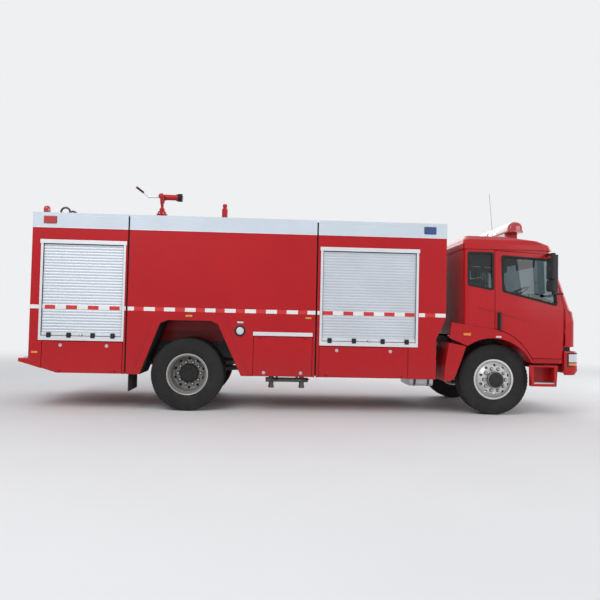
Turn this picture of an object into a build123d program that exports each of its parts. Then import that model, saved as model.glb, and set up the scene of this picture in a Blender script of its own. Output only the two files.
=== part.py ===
from build123d import *
import os
from math import sqrt

# A two-axle water-tender fire engine with a forward-control cab, a three-module
# body with roller shutters, and a hand-aimed water monitor on the roof.
# X points forward, Y to the left, Z up. The origin is on the ground, in the
# middle of the vehicle's length and width. All sizes are millimetres.

os.makedirs("parts", exist_ok=True)

# Driving dimensions of the whole vehicle
wheelbase = 4600
front_overhang = 1290
rear_overhang = 2410
x_front = (wheelbase + front_overhang + rear_overhang) / 2
x_fa = x_front - front_overhang
x_ra = x_fa - wheelbase
x_tail = x_ra - rear_overhang
gap = 8
seat = 0.3

# Wheels and tyres
tyre_r = 534
tyre_half = 140
tread_half = 116
shoulder_r = 510
bead_r = 286
rim_half = 105
flange_r = 303
flange_t = 10
barrel_t = 9
well_r = 256
disc_t = 14
hub_hole_r = 140.5
front_cap_r = 123
rear_cap_r = 137
nut_circle_r = 167
nut_count = 10
hand_hole_circle_r = 216
hand_hole_r = 20
disc_face = 160
front_wheel_y = 990
rear_outer_y = 1050
dual_pitch = 320
axle_z = tyre_r

# Chassis frame
rail_outer = 430
rail_flange = 75
rail_depth = 250
rail_t = 8
frame_top = 1000
frame_bottom = frame_top - rail_depth
x_frame_rear = x_ra - 2120
x_frame_front = x_fa + 1080
rail_mid_y = rail_outer - rail_flange / 2

# Steering
kingpin_y = 870
kingpin_r = 22
knuckle_lug_r = 44
beam_boss_half = 62
lug_t = 34
spindle_r = 38
drum_r = 205
drum_t = 14
steer_arm = 150

# Fire body
body_half = 1240
body_bottom = 529
band_bottom = 2631
body_top = 2853
deck_top = 2800
wall = 40
module_gap = 24
x_body_rear = x_ra - 2270
x_seam_rear = x_ra - 889
x_seam_front = x_ra + 1879
x_body_front = x_ra + 3817
skirt_inner = 600
floor_z = frame_top
floor_t = 40
mid_floor_z = 1160
locker_floor_t = 24

# Rear wheel arch, as distances from the rear axle
arch_rear_foot = 683
arch_rear_shoulder = 403
arch_rear_top = 289
arch_front_top = 335
arch_front_shoulder = 438
arch_front_foot = 793
arch_shoulder_z = 1282
arch_top_z = 1328
liner_t = 4

# Side shutters: rear edge and front edge of each opening, and heights
tail_bay = (-1080, -20)
tail_bay_top = 2300
rear_bay = (x_body_rear + 132, x_seam_rear - 34)
front_bay = (x_seam_front + 52, x_seam_front + 1518)
bay_bottom = 1000
bay_top = 2458
header_h = 56
rail_w = 34
rail_proud = 9
curtain_t = 22
curtain_back = 34
slat_pitch = 42
sill_h = 62

# Lower flaps
flap_t = 30
flap_bottom = 536
flap_top = 984
mid_flap_top = 1112
rear_flap = (x_ra - 2082, x_ra - 937)
mid_flap = (x_ra + 966, x_ra + 1824)
front_flap = (x_seam_front + 56, x_seam_front + 1372)
locker_depth = 520
flap_pin_r = 6
hinge_lug_w = 30
notch_w = hinge_lug_w + 12
low_axis = (body_half - flap_t / 2, 545)
top_axis = (body_half - 4, mid_flap_top - 4)
rear_hinges = (x_ra - 1816, rear_flap[1] - 100)
mid_hinges = (mid_flap[0] + 100, mid_flap[1] - 100)
front_hinges = (front_flap[0] + 100, front_flap[1] - 100)

# Cab, as distances from the front axle
cab_half = 1235
cab_roof_half = 1192
cab_rear = -500
cab_wall = 50
cab_sill_z = 800
door_bottom_z = 872
cab_floor_z = 1190
belt_z = 1607
shell_top_z = 2500
x_sill_front = 1085
x_belt_front = 1165
x_head_front = 862
corner_r = 150
rear_corner_r = 60

# Cab doors, as distances from the front axle
door_rear = -32
door_front = 1015
door_top_front = 826
door_top_z = 2440
door_top_rear_z = 2480
hinge_x = door_front + gap
fender_line_r = 815
fender_line_x = -200
fender_line_z = 500

# Front wheel arch in the cab, as distances from the front axle
arch_x = -60
arch_z = 500
arch_r = 660
fender_t = 70

# Roof monitor
monitor_x = x_ra - 650
monitor_pivot_z = 3368
monitor_flange_z = 3085
barrel_r = 58

bodies_side = (("r", -1), ("l", 1))


def side_box(x0, x1, y0, y1, z0, z1):
    """A plain block between two corners, for use inside a part block."""
    with Locations(((x0 + x1) / 2, (y0 + y1) / 2, (z0 + z1) / 2)):
        return Box(x1 - x0, abs(y1 - y0), z1 - z0)


# Frame rails: two channel sections, open inwards
with BuildPart() as frame_rails:
    with BuildSketch(Plane.YZ.offset(x_frame_rear)):
        with BuildLine():
            Polyline(
                (rail_outer, frame_bottom),
                (rail_outer, frame_top),
                (rail_outer - rail_flange, frame_top),
                (rail_outer - rail_flange, frame_top - rail_t),
                (rail_outer - rail_t, frame_top - rail_t),
                (rail_outer - rail_t, frame_bottom + rail_t),
                (rail_outer - rail_flange, frame_bottom + rail_t),
                (rail_outer - rail_flange, frame_bottom),
                close=True,
            )
        make_face()
    extrude(amount=x_frame_front - x_frame_rear)
    mirror(about=Plane.XZ)
frame_rails.part.label = "frame_rails"
export_step(frame_rails.part, "parts/frame_rails.step")

# Cross members: pressed channels between the rails' webs
cross_x = (x_frame_rear + 60, x_ra - 860, x_ra + 860, x_ra + 2000, x_fa - 1330, x_fa + 980)
cross_w = 90
cross_h = 170
web_inner = rail_outer - rail_t
with BuildPart() as crossmembers:
    for x in cross_x:
        with BuildSketch(Plane.XZ.offset(-web_inner)):
            with Locations((x, (frame_top + frame_bottom) / 2)):
                Rectangle(cross_w, cross_h)
            with Locations((x, (frame_top + frame_bottom) / 2 - rail_t)):
                Rectangle(cross_w - 2 * rail_t, cross_h - 2 * rail_t, mode=Mode.SUBTRACT)
        extrude(amount=2 * web_inner)
crossmembers.part.label = "crossmembers"
export_step(crossmembers.part, "parts/crossmembers.step")

# Front axle beam: forged I section with a dropped centre, bosses and kingpins
beam_half_x = 45
beam_drop_z = 350
beam_top_z = 450
neck_half = 42
with BuildPart() as front_axle_beam:
    with BuildSketch(Plane.YZ.offset(x_fa - beam_half_x)):
        with BuildLine():
            Polyline(
                (0, beam_drop_z),
                (560, beam_drop_z),
                (740, axle_z - neck_half),
                (kingpin_y, axle_z - neck_half),
                (kingpin_y, axle_z + neck_half),
                (720, axle_z + neck_half),
                (560, beam_top_z),
                (0, beam_top_z),
                close=True,
            )
        make_face()
    extrude(amount=2 * beam_half_x)
    for x in (x_fa - beam_half_x, x_fa + beam_half_x - 26):
        with BuildSketch(Plane.YZ.offset(x)):
            with BuildLine():
                Polyline(
                    (0, beam_drop_z + 20),
                    (552, beam_drop_z + 20),
                    (735, axle_z - neck_half + 20),
                    (790, axle_z - neck_half + 20),
                    (790, axle_z + neck_half - 20),
                    (728, axle_z + neck_half - 20),
                    (566, beam_top_z - 20),
                    (0, beam_top_z - 20),
                    close=True,
                )
            make_face()
        extrude(amount=26, mode=Mode.SUBTRACT)
    with BuildSketch(Plane.XY.offset(axle_z - beam_boss_half)):
        with Locations((x_fa, kingpin_y)):
            Circle(knuckle_lug_r)
    extrude(amount=2 * beam_boss_half)
    with BuildSketch(Plane.XY.offset(axle_z - beam_boss_half - lug_t - 8)):
        with Locations((x_fa, kingpin_y)):
            Circle(kingpin_r)
    extrude(amount=2 * (beam_boss_half + lug_t + 8))
    mirror(about=Plane.XZ)
front_axle_beam.part.label = "front_axle_beam"
export_step(front_axle_beam.part, "parts/front_axle_beam.step")

# Rear axle: banjo housing, drive nose, spring saddles, backing plates and spindles
housing_r = 70
banjo_r = 200
banjo_half = 125
nose_end = 330
rear_spindle_r = 60
rear_spindle_end = 950
plate_r = drum_r - drum_t - 5
rear_plate_y = 622
plate_t = 8
saddle_z = axle_z + 86
spring_w = 75
y_axis_plane = Plane(origin=(x_ra, 0, axle_z), x_dir=(1, 0, 0), z_dir=(0, 1, 0))
with BuildPart() as rear_axle:
    for radius, half in ((housing_r, rear_plate_y), (rear_spindle_r, rear_spindle_end)):
        with BuildSketch(y_axis_plane.offset(-half)):
            Circle(radius)
        extrude(amount=2 * half)
    with BuildSketch(Plane.XZ):
        with BuildLine():
            Polyline(
                (x_ra - banjo_half, axle_z),
                (x_ra - banjo_half, axle_z + banjo_r - 55),
                (x_ra - banjo_half + 55, axle_z + banjo_r),
                (x_ra + banjo_half - 55, axle_z + banjo_r),
                (x_ra + banjo_half, axle_z + banjo_r - 55),
                (x_ra + banjo_half, axle_z),
                close=True,
            )
        make_face()
    revolve(axis=Axis((0, 0, axle_z), (1, 0, 0)))
    with BuildSketch(Plane(origin=(x_ra + banjo_half, 0, axle_z), z_dir=(1, 0, 0))):
        Circle(120)
    with BuildSketch(Plane(origin=(x_ra + nose_end, 0, axle_z), z_dir=(1, 0, 0))):
        Circle(65)
    loft()
    for s in (-1, 1):
        with BuildSketch(y_axis_plane.offset(s * rear_plate_y)):
            Circle(plate_r)
        extrude(amount=s * plate_t)
        side_box(x_ra - 70, x_ra + 70, s * (rail_mid_y - spring_w / 2),
                 s * (rail_mid_y + spring_w / 2), axle_z, saddle_z)
rear_axle.part.label = "rear_axle"
export_step(rear_axle.part, "parts/rear_axle.step")

# Leaf springs: axle x, underside height at the axle, eye height, half span, thickness
spring_rows = (
    (x_fa, beam_top_z, 640, 720, 60),
    (x_ra, saddle_z, 675, 680, 66),
)
eye_r = 34
hanger_w = 56
with BuildPart() as leaf_springs:
    for x, z_low, z_eye, span, thick in spring_rows:
        with BuildSketch(Plane.XZ.offset(rail_mid_y - spring_w / 2)):
            with BuildLine():
                low = ThreePointArc((x - span, z_eye - thick / 2), (x, z_low), (x + span, z_eye - thick / 2))
                z_end = z_eye + thick / 3
                top = ThreePointArc((x - span, z_end), (x, z_low + thick), (x + span, z_end))
                Line(low @ 0, top @ 0)
                Line(low @ 1, top @ 1)
            make_face()
            with Locations((x - span, z_eye), (x + span, z_eye)):
                Circle(eye_r)
            for end in (-span, span):
                with Locations((x + end, (z_eye + frame_bottom) / 2)):
                    Rectangle(hanger_w, frame_bottom - z_eye)
        extrude(amount=spring_w)
    with Locations((x_fa, -rail_mid_y, beam_top_z)):
        Box(96, spring_w + 20, 4, align=(Align.CENTER, Align.CENTER, Align.MIN))
    mirror(about=Plane.XZ)
leaf_springs.part.label = "leaf_springs"
export_step(leaf_springs.part, "parts/leaf_springs.step")

# Engine: one plain block between the rails, under the cab floor
engine_x = (x_fa - 560, x_fa + 620)
engine_half = 290
engine_z = (640, 1150)
with BuildPart() as engine_block:
    side_box(engine_x[0], engine_x[1], -engine_half, engine_half, engine_z[0], engine_z[1])
    side_box(x_fa + 100, x_fa + 180, -web_inner, web_inner, engine_z[0] + 180, engine_z[0] + 240)
engine_block.part.label = "engine_block"
export_step(engine_block.part, "parts/engine_block.step")

# Gearbox and propeller shaft
gearbox_z = 830
shaft_out_z = 735
gearbox_end = engine_x[0] - 620
shaft_r = 42
with BuildPart() as drive_line:
    with BuildSketch(Plane(origin=(engine_x[0], 0, gearbox_z), z_dir=(-1, 0, 0))):
        Circle(215)
    with BuildSketch(Plane(origin=(engine_x[0] - 180, 0, gearbox_z), z_dir=(-1, 0, 0))):
        Circle(165)
    loft()
    with BuildSketch(Plane(origin=(engine_x[0] - 180, 0, gearbox_z), z_dir=(-1, 0, 0))):
        RectangleRounded(300, 300, 50)
    extrude(amount=440)
    shaft_start = Vector(gearbox_end, 0, shaft_out_z)
    shaft_stop = Vector(x_ra + nose_end, 0, axle_z)
    along = (shaft_stop - shaft_start).normalized()
    with BuildSketch(Plane(origin=shaft_start - along * 20, z_dir=along)):
        Circle(shaft_r)
    extrude(amount=(shaft_stop - shaft_start).length + 60)
    split(bisect_by=Plane(origin=shaft_stop, z_dir=(1, 0, 0)))
drive_line.part.label = "drive_line"
export_step(drive_line.part, "parts/drive_line.step")


def rim_profile():
    """Half section of a drop-centre disc wheel: along the axis, then radius."""
    with BuildSketch(mode=Mode.PRIVATE) as section:
        with BuildLine():
            Polyline(
                (-rim_half - flange_t, flange_r), (-rim_half, flange_r), (-rim_half, bead_r),
                (-70, bead_r - 3), (-48, well_r + barrel_t), (48, well_r + barrel_t),
                (70, bead_r - 3), (rim_half, bead_r), (rim_half, flange_r),
                (rim_half + flange_t, flange_r), (rim_half + flange_t, bead_r - barrel_t),
                (74, bead_r - 12), (52, well_r), (-52, well_r), (-74, bead_r - 12),
                (-rim_half - flange_t, bead_r - barrel_t), close=True,
            )
        make_face()
        with BuildLine():
            Polyline(
                (84, 278), (122, 250), (disc_face, 206), (disc_face, hub_hole_r),
                (disc_face - disc_t, hub_hole_r), (disc_face - disc_t, 200),
                (112, 238), (56, 258), (60, 266), close=True,
            )
        make_face()
    return section.sketch


def wheel_plane(x, y, side):
    """Plane through a wheel's axis: its x runs outboard, its y runs up."""
    return Plane(origin=(x, side * y, axle_z), x_dir=(0, side, 0), z_dir=(side, 0, 0))


def disc_holes_and_nuts(x, y, side, dish, nut_h):
    """Hand holes cut in a disc, and a ring of nuts on it. dish is 1 outboard, -1 inboard."""
    face = side * (y + dish * disc_face)
    hole_plane = Plane(origin=(x, face, axle_z), x_dir=(1, 0, 0), z_dir=(0, side * dish, 0))
    with BuildSketch(hole_plane) as holes:
        with PolarLocations(hand_hole_circle_r, nut_count, start_angle=180 / nut_count):
            Circle(hand_hole_r)
    extrude(holes.sketch, amount=-90, mode=Mode.SUBTRACT)
    if nut_h:
        start = face if dish > 0 else face + side * disc_t
        nut_plane = Plane(origin=(x, start, axle_z), x_dir=(1, 0, 0), z_dir=(0, side, 0))
        with BuildSketch(nut_plane) as nuts:
            with PolarLocations(nut_circle_r, nut_count):
                RegularPolygon(17, 6)
        extrude(nuts.sketch, amount=nut_h)


def tyre_section():
    """Half section of a tyre: along the axis, then radius."""
    with BuildSketch(mode=Mode.PRIVATE) as section:
        with BuildLine():
            Line((-rim_half + seat, bead_r + seat), (rim_half - seat, bead_r + seat))
            for s in (-1, 1):
                Polyline(
                    (s * (rim_half - seat), bead_r + seat),
                    (s * (rim_half - seat), flange_r + 1),
                    (s * (rim_half + 12), flange_r + 1),
                )
                ThreePointArc(
                    (s * (rim_half + 12), flange_r + 1),
                    (s * tyre_half, (flange_r + shoulder_r) / 2),
                    (s * (tread_half + 8), shoulder_r),
                )
                Line((s * (tread_half + 8), shoulder_r), (s * tread_half, tyre_r - 5))
            ThreePointArc((-tread_half, tyre_r - 5), (0, tyre_r), (tread_half, tyre_r - 5))
        make_face()
    return section.sketch


for tag, side in bodies_side:
    # Steering knuckle: two lugs on the kingpin, backing plate, spindle and arm
    lug_z = beam_boss_half + 2
    with BuildPart() as knuckle:
        for z in (axle_z + lug_z, axle_z - lug_z - lug_t):
            with BuildSketch(Plane.XY.offset(z)):
                with Locations((x_fa, side * kingpin_y)):
                    Circle(knuckle_lug_r)
                with Locations((x_fa, side * (kingpin_y + 38))):
                    Rectangle(80, 76)
                with Locations((x_fa, side * kingpin_y)):
                    Circle(kingpin_r + seat, mode=Mode.SUBTRACT)
            extrude(amount=lug_t)
        side_box(x_fa - 45, x_fa + 45, side * (kingpin_y + 54), side * (kingpin_y + 78),
                 axle_z - lug_z - lug_t, axle_z + lug_z + lug_t)
        with BuildSketch(Plane(origin=(x_fa, side * (kingpin_y + 50), axle_z),
                               x_dir=(1, 0, 0), z_dir=(0, side, 0))):
            Circle(plate_r)
        extrude(amount=plate_t)
        with BuildSketch(Plane(origin=(x_fa, side * (kingpin_y + 60), axle_z),
                               x_dir=(1, 0, 0), z_dir=(0, side, 0))):
            Circle(spindle_r)
        extrude(amount=front_wheel_y + disc_face - 12 - kingpin_y - 60)
        side_box(x_fa - steer_arm, x_fa - 20, side * (kingpin_y - 14), side * (kingpin_y + 16),
                 axle_z - lug_z - lug_t, axle_z - lug_z - lug_t + 22)
        side_box(x_fa - 60, x_fa - 20, side * (kingpin_y - 14), side * (kingpin_y + 60),
                 axle_z - lug_z - lug_t, axle_z - lug_z - lug_t + 22)
        with Locations((x_fa, side * kingpin_y, axle_z - lug_z)):
            Cylinder(kingpin_r + seat, 2 * (lug_t + 4), mode=Mode.SUBTRACT)
    knuckle.part.label = f"knuckle_{tag}"
    export_step(knuckle.part, f"parts/knuckle_{tag}.step")

    # Front wheel: disc rim with nuts, brake drum, hub and cap on one axis
    axis_f = Axis((x_fa, 0, axle_z), (0, 1, 0))
    cap_out = 215
    with BuildPart() as front_rim:
        with BuildSketch(wheel_plane(x_fa, front_wheel_y, side)):
            add(rim_profile())
        revolve(axis=axis_f)
        disc_holes_and_nuts(x_fa, front_wheel_y, side, 1, 26)
        with BuildSketch(wheel_plane(x_fa, front_wheel_y, side)):
            with BuildLine():
                Polyline(
                    (-34, spindle_r + seat), (-34, 84), (62, 84), (62, drum_r - drum_t),
                    (-66, drum_r - drum_t), (-66, drum_r), (86, drum_r), (86, 188),
                    (disc_face - disc_t, 188), (disc_face - disc_t, hub_hole_r),
                    (disc_face + 2, hub_hole_r), (disc_face + 2, front_cap_r),
                    (cap_out - 8, front_cap_r), (cap_out, front_cap_r - 10), (cap_out, 0),
                    (disc_face - 8, 0), (disc_face - 8, spindle_r + seat), close=True,
                )
            make_face()
        revolve(axis=axis_f)
    front_rim.part.label = f"front_rim_{tag}"
    export_step(front_rim.part, f"parts/front_rim_{tag}.step")

    with BuildPart() as front_tyre:
        with BuildSketch(wheel_plane(x_fa, front_wheel_y, side)):
            add(tyre_section())
        revolve(axis=axis_f)
    front_tyre.part.label = f"front_tyre_{tag}"
    export_step(front_tyre.part, f"parts/front_tyre_{tag}.step")

    # Rear wheels: two rims back to back, one drum and hub
    axis_r = Axis((x_ra, 0, axle_z), (0, 1, 0))
    rear_inner_y = rear_outer_y - dual_pitch
    dual_y = rear_outer_y - dual_pitch / 2
    with BuildPart() as rear_rims:
        with BuildSketch(wheel_plane(x_ra, rear_inner_y, side)):
            add(rim_profile())
        revolve(axis=axis_r)
        with BuildSketch(wheel_plane(x_ra, rear_outer_y, side)):
            mirror(rim_profile(), about=Plane.YZ)
        revolve(axis=axis_r)
        disc_holes_and_nuts(x_ra, rear_inner_y, side, 1, 0)
        disc_holes_and_nuts(x_ra, rear_outer_y, side, -1, 26)
        with BuildSketch(wheel_plane(x_ra, 0, side)):
            with BuildLine():
                Polyline(
                    (690, rear_spindle_r + seat), (690, 92), (dual_y - 44, 92),
                    (dual_y - 44, drum_r - drum_t), (rear_plate_y + 18, drum_r - drum_t),
                    (rear_plate_y + 18, drum_r), (dual_y - 30, drum_r), (dual_y - 30, 188),
                    (dual_y - disc_t, 188), (dual_y - disc_t, hub_hole_r),
                    (dual_y + disc_t, hub_hole_r), (dual_y + disc_t, rear_cap_r),
                    (dual_y + 76, rear_cap_r), (dual_y + 86, rear_cap_r - 12), (dual_y + 86, 0),
                    (rear_spindle_end + 5, 0), (rear_spindle_end + 5, rear_spindle_r + seat),
                    close=True,
                )
            make_face()
        revolve(axis=axis_r)
    rear_rims.part.label = f"rear_rims_{tag}"
    export_step(rear_rims.part, f"parts/rear_rims_{tag}.step")

    with BuildPart() as rear_tyres:
        for y in (rear_inner_y, rear_outer_y):
            with BuildSketch(wheel_plane(x_ra, y, side)):
                add(tyre_section())
            revolve(axis=axis_r)
    rear_tyres.part.label = f"rear_tyres_{tag}"
    export_step(rear_tyres.part, f"parts/rear_tyres_{tag}.step")

# Fire body modules. Each is a shell with a floor, side bays, and lockers in its skirts.
half_gap = module_gap / 2
tail_z = 648
belly_x = x_ra - 1876
front_cut_top = 1431
front_cut_z = 1132
front_cut_x = x_body_front - 140


def hollow_box(x0, x1, y0, y1, z0, z1):
    """Cuts the same block out of both sides of a module."""
    for s in (-1, 1):
        with Locations(((x0 + x1) / 2, s * (y0 + y1) / 2, (z0 + z1) / 2)):
            Box(x1 - x0, y1 - y0, z1 - z0, mode=Mode.SUBTRACT)


def flap_hole(x0, x1, z0, z1, floor):
    """Opening in the skin for a flap, with the locker behind it."""
    hollow_box(x0 - gap, x1 + gap, body_half - flap_t - gap - 2, body_half + 1, z0 - 2 * gap, z1 + gap)
    hollow_box(x0 + 24, x1 - 24, body_half - locker_depth, body_half - flap_t, floor, z1 - 24)


def hinge_lugs(stations, axis, root_y, z0, z1):
    """Lugs on both sides of a module, bored for a flap's hinge pins."""
    for s in (-1, 1):
        for x in stations:
            side_box(x - hinge_lug_w / 2, x + hinge_lug_w / 2, s * root_y, s * (axis[0] + 10), z0, z1)
            with Locations((x, s * axis[0], axis[1])):
                Cylinder(flap_pin_r + seat, hinge_lug_w, rotation=(0, 90, 0), mode=Mode.SUBTRACT)


with BuildPart() as body_rear:
    with BuildSketch(Plane.XZ.offset(-body_half)):
        with BuildLine():
            Polyline(
                (x_seam_rear - half_gap, body_bottom), (belly_x, body_bottom),
                (x_body_rear, tail_z), (x_body_rear, band_bottom),
                (x_seam_rear - half_gap, band_bottom), close=True,
            )
        make_face()
    extrude(amount=2 * body_half)
    rear_room = (x_body_rear + wall, x_seam_rear - half_gap - wall)
    with Locations(((rear_room[0] + rear_room[1]) / 2, 0, floor_z + floor_t)):
        Box(rear_room[1] - rear_room[0], 2 * (body_half - wall), band_bottom - floor_z,
            align=(Align.CENTER, Align.CENTER, Align.MIN), mode=Mode.SUBTRACT)
    with Locations((x_body_rear + wall, 0, 0)):
        Box(2000, 2 * skirt_inner, floor_z, align=(Align.MIN, Align.CENTER, Align.MIN),
            mode=Mode.SUBTRACT)
    hollow_box(rear_bay[0], rear_bay[1], body_half - wall - 1, body_half + 1, bay_bottom, bay_top)
    flap_hole(belly_x + 30, rear_flap[1], flap_bottom, flap_top, body_bottom + locker_floor_t)
    hollow_box(rear_flap[0] - gap, belly_x + 30, body_half - flap_t - gap - 2, body_half + 1,
               flap_bottom - 2 * gap, flap_top + gap)
    hinge_lugs(rear_hinges, low_axis, body_half - 50, body_bottom + 2, low_axis[1] + 13)
    with Locations((x_body_rear, (tail_bay[0] + tail_bay[1]) / 2, (bay_bottom + tail_bay_top) / 2)):
        Box(2 * wall + 2, tail_bay[1] - tail_bay[0], tail_bay_top - bay_bottom, mode=Mode.SUBTRACT)
body_rear.part.label = "body_rear"
export_step(body_rear.part, "parts/body_rear.step")


def arch_outline(grow, foot_z):
    """Rear wheel arch in side view, grown outwards by a wall, down to a foot height."""
    feet = (foot_z,) if foot_z < body_bottom else ()
    points = [(x_ra - arch_rear_foot - grow, z) for z in feet]
    points += [
        (x_ra - arch_rear_foot - grow, body_bottom),
        (x_ra - arch_rear_shoulder - grow, arch_shoulder_z + grow / 2),
        (x_ra - arch_rear_top - grow / 2, arch_top_z + grow),
        (x_ra + arch_front_top + grow / 2, arch_top_z + grow),
        (x_ra + arch_front_shoulder + grow, arch_shoulder_z + grow / 2),
        (x_ra + arch_front_foot + grow, body_bottom),
    ]
    points += [(x_ra + arch_front_foot + grow, z) for z in feet]
    with BuildSketch(mode=Mode.PRIVATE) as arch:
        with BuildLine():
            Polyline(*points, close=True)
        make_face()
    return arch.sketch


def pair_planes(y0, y1):
    """Side-view planes from which an extrusion of y1 - y0 fills y0 to y1 on either side."""
    return (Plane.XZ.offset(y0), Plane.XZ.offset(-y1))


mid_x = (x_seam_rear + half_gap, x_seam_front - half_gap)
bearer_half = 40
with BuildPart() as body_mid:
    side_box(mid_x[0], mid_x[1], -body_half, body_half, body_bottom, band_bottom)
    with Locations(((mid_x[0] + mid_x[1]) / 2, 0, mid_floor_z + floor_t)):
        Box(mid_x[1] - mid_x[0] - 2 * wall, 2 * (body_half - wall), band_bottom - mid_floor_z,
            align=(Align.CENTER, Align.CENTER, Align.MIN), mode=Mode.SUBTRACT)
    for plane in pair_planes(skirt_inner - wall, body_half):
        with BuildSketch(plane):
            add(arch_outline(wall, body_bottom))
        extrude(amount=body_half - skirt_inner + wall)
    for plane in pair_planes(skirt_inner, body_half + 1):
        with BuildSketch(plane):
            add(arch_outline(0, body_bottom - 60))
        extrude(amount=body_half + 1 - skirt_inner, mode=Mode.SUBTRACT)
    with Locations(((mid_x[0] + mid_x[1]) / 2, 0, 0)):
        Box(mid_x[1] - mid_x[0], 2 * skirt_inner, mid_floor_z,
            align=(Align.CENTER, Align.CENTER, Align.MIN), mode=Mode.SUBTRACT)
    for s in (-1, 1):
        side_box(mid_x[0], mid_x[1], s * (rail_mid_y - bearer_half), s * (rail_mid_y + bearer_half),
                 frame_top, mid_floor_z)
    flap_hole(mid_flap[0], mid_flap[1], flap_bottom, mid_flap_top, body_bottom + locker_floor_t)
    hinge_lugs(mid_hinges, top_axis, body_half - 18, top_axis[1] - 12, mid_flap_top + gap + 1)
body_mid.part.label = "body_mid"
export_step(body_mid.part, "parts/body_mid.step")

with BuildPart() as body_front:
    with BuildSketch(Plane.XZ.offset(-body_half)):
        with BuildLine():
            Polyline(
                (x_seam_front + half_gap, body_bottom), (front_cut_x, body_bottom),
                (front_cut_x, front_cut_z), (x_body_front, front_cut_top),
                (x_body_front, band_bottom), (x_seam_front + half_gap, band_bottom), close=True,
            )
        make_face()
    extrude(amount=2 * body_half)
    front_room = (x_seam_front + half_gap + wall, x_body_front - wall)
    with BuildSketch(Plane.XZ.offset(-body_half + wall)):
        with BuildLine():
            Polyline(
                (front_room[0], floor_z + floor_t), (front_cut_x - wall, floor_z + floor_t),
                (front_cut_x - wall, front_cut_z + wall / 2), (front_room[1], front_cut_top + wall / 2),
                (front_room[1], band_bottom + 1), (front_room[0], band_bottom + 1), close=True,
            )
        make_face()
    extrude(amount=2 * (body_half - wall), mode=Mode.SUBTRACT)
    with Locations((0, 0, 0)):
        Box(6000, 2 * skirt_inner, floor_z, align=(Align.MIN, Align.CENTER, Align.MIN),
            mode=Mode.SUBTRACT)
    hollow_box(front_flap[1] + 30, front_cut_x + 1, 0, body_half - wall, 0, floor_z)
    hollow_box(front_bay[0], front_bay[1], body_half - wall - 1, body_half + 1, bay_bottom, bay_top)
    flap_hole(front_flap[0], front_flap[1], flap_bottom, flap_top, body_bottom + locker_floor_t)
    hinge_lugs(front_hinges, low_axis, body_half - 50, body_bottom + 2, low_axis[1] + 13)
body_front.part.label = "body_front"
export_step(body_front.part, "parts/body_front.step")

# Lower flaps: ends, top, hinge stations, hinge axis, and the notch round each lug.
# The rear one is clipped along the belly.
low_notch = (flap_bottom - 1, low_axis[1] + 20)
top_notch = (top_axis[1] - 22, mid_flap_top + 1)
flap_rows = (
    ("rear", rear_flap, flap_top, rear_hinges, low_axis, low_notch),
    ("mid", mid_flap, mid_flap_top, mid_hinges, top_axis, top_notch),
    ("front", front_flap, flap_top, front_hinges, low_axis, low_notch),
)
belly_slope = (tail_z - body_bottom) / (belly_x - x_body_rear)
for row, (x0, x1), z_top, stations, axis, notch in flap_rows:
    for tag, side in bodies_side:
        plane = pair_planes(body_half - flap_t, body_half)[0 if side < 0 else 1]
        clip = max(0, belly_x - x0)
        corner = [(x0, flap_bottom + clip * belly_slope), (x0 + clip, flap_bottom)]
        outline = (corner if clip else [(x0, flap_bottom)]) + [(x1, flap_bottom), (x1, z_top), (x0, z_top)]
        with BuildPart() as flap:
            with BuildSketch(plane):
                with BuildLine():
                    Polyline(*outline, close=True)
                make_face()
            extrude(amount=flap_t)
            inner = side * (body_half - flap_t)
            mid_z = (flap_bottom + z_top) / 2
            with Locations(((max(x0, belly_x) + x1) / 2, inner, mid_z + 10)):
                Box(x1 - max(x0, belly_x) - 130, 32, z_top - flap_bottom - 130, mode=Mode.SUBTRACT)
            for x in stations:
                with Locations((x, side * (body_half - flap_t / 2), (notch[0] + notch[1]) / 2)):
                    Box(notch_w, flap_t + 2, notch[1] - notch[0], mode=Mode.SUBTRACT)
                with Locations((x, side * axis[0], axis[1])):
                    Cylinder(flap_pin_r, notch_w + 4, rotation=(0, 90, 0))
        flap.part.label = f"flap_{row}_{tag}"
        export_step(flap.part, f"parts/flap_{row}_{tag}.step")

# Roof decks: a pale band round each module with a lip, and a sunk walkway
band_half = body_half + 3
lip_h = 38
lip_out = 3
deck_rows = ((x_body_rear - 3, x_seam_rear - half_gap), mid_x, (x_seam_front + half_gap, x_body_front + 3))
with BuildPart() as roof_decks:
    for x0, x1 in deck_rows:
        side_box(x0, x1, -band_half, band_half, band_bottom, body_top)
        side_box(x0, x1, -band_half - lip_out, band_half + lip_out, body_top - lip_h, body_top)
        with Locations(((x0 + x1) / 2, 0, deck_top)):
            Box(x1 - x0 - 2 * wall, 2 * (band_half - wall), body_top - deck_top,
                align=(Align.CENTER, Align.CENTER, Align.MIN), mode=Mode.SUBTRACT)
        with Locations(((x0 + x1) / 2, 0, band_bottom)):
            Box(x1 - x0 - 2 * wall - 6, 2 * (band_half - wall - 3), deck_top - wall - band_bottom,
                align=(Align.CENTER, Align.CENTER, Align.MIN), mode=Mode.SUBTRACT)
roof_decks.part.label = "roof_decks"
export_step(roof_decks.part, "parts/roof_decks.step")

# Seals between the modules: an inverted U in each seam
seal_half = body_half - 26
with BuildPart() as seam_seals:
    for x in (x_seam_rear, x_seam_front):
        side_box(x - half_gap, x + half_gap, -seal_half, seal_half, body_bottom + 20, body_top - 26)
        with Locations((x, 0, 0)):
            Box(module_gap, 2 * (seal_half - wall), deck_top - wall,
                align=(Align.CENTER, Align.CENTER, Align.MIN), mode=Mode.SUBTRACT)
seam_seals.part.label = "seam_seals"
export_step(seam_seals.part, "parts/seam_seals.step")

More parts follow.
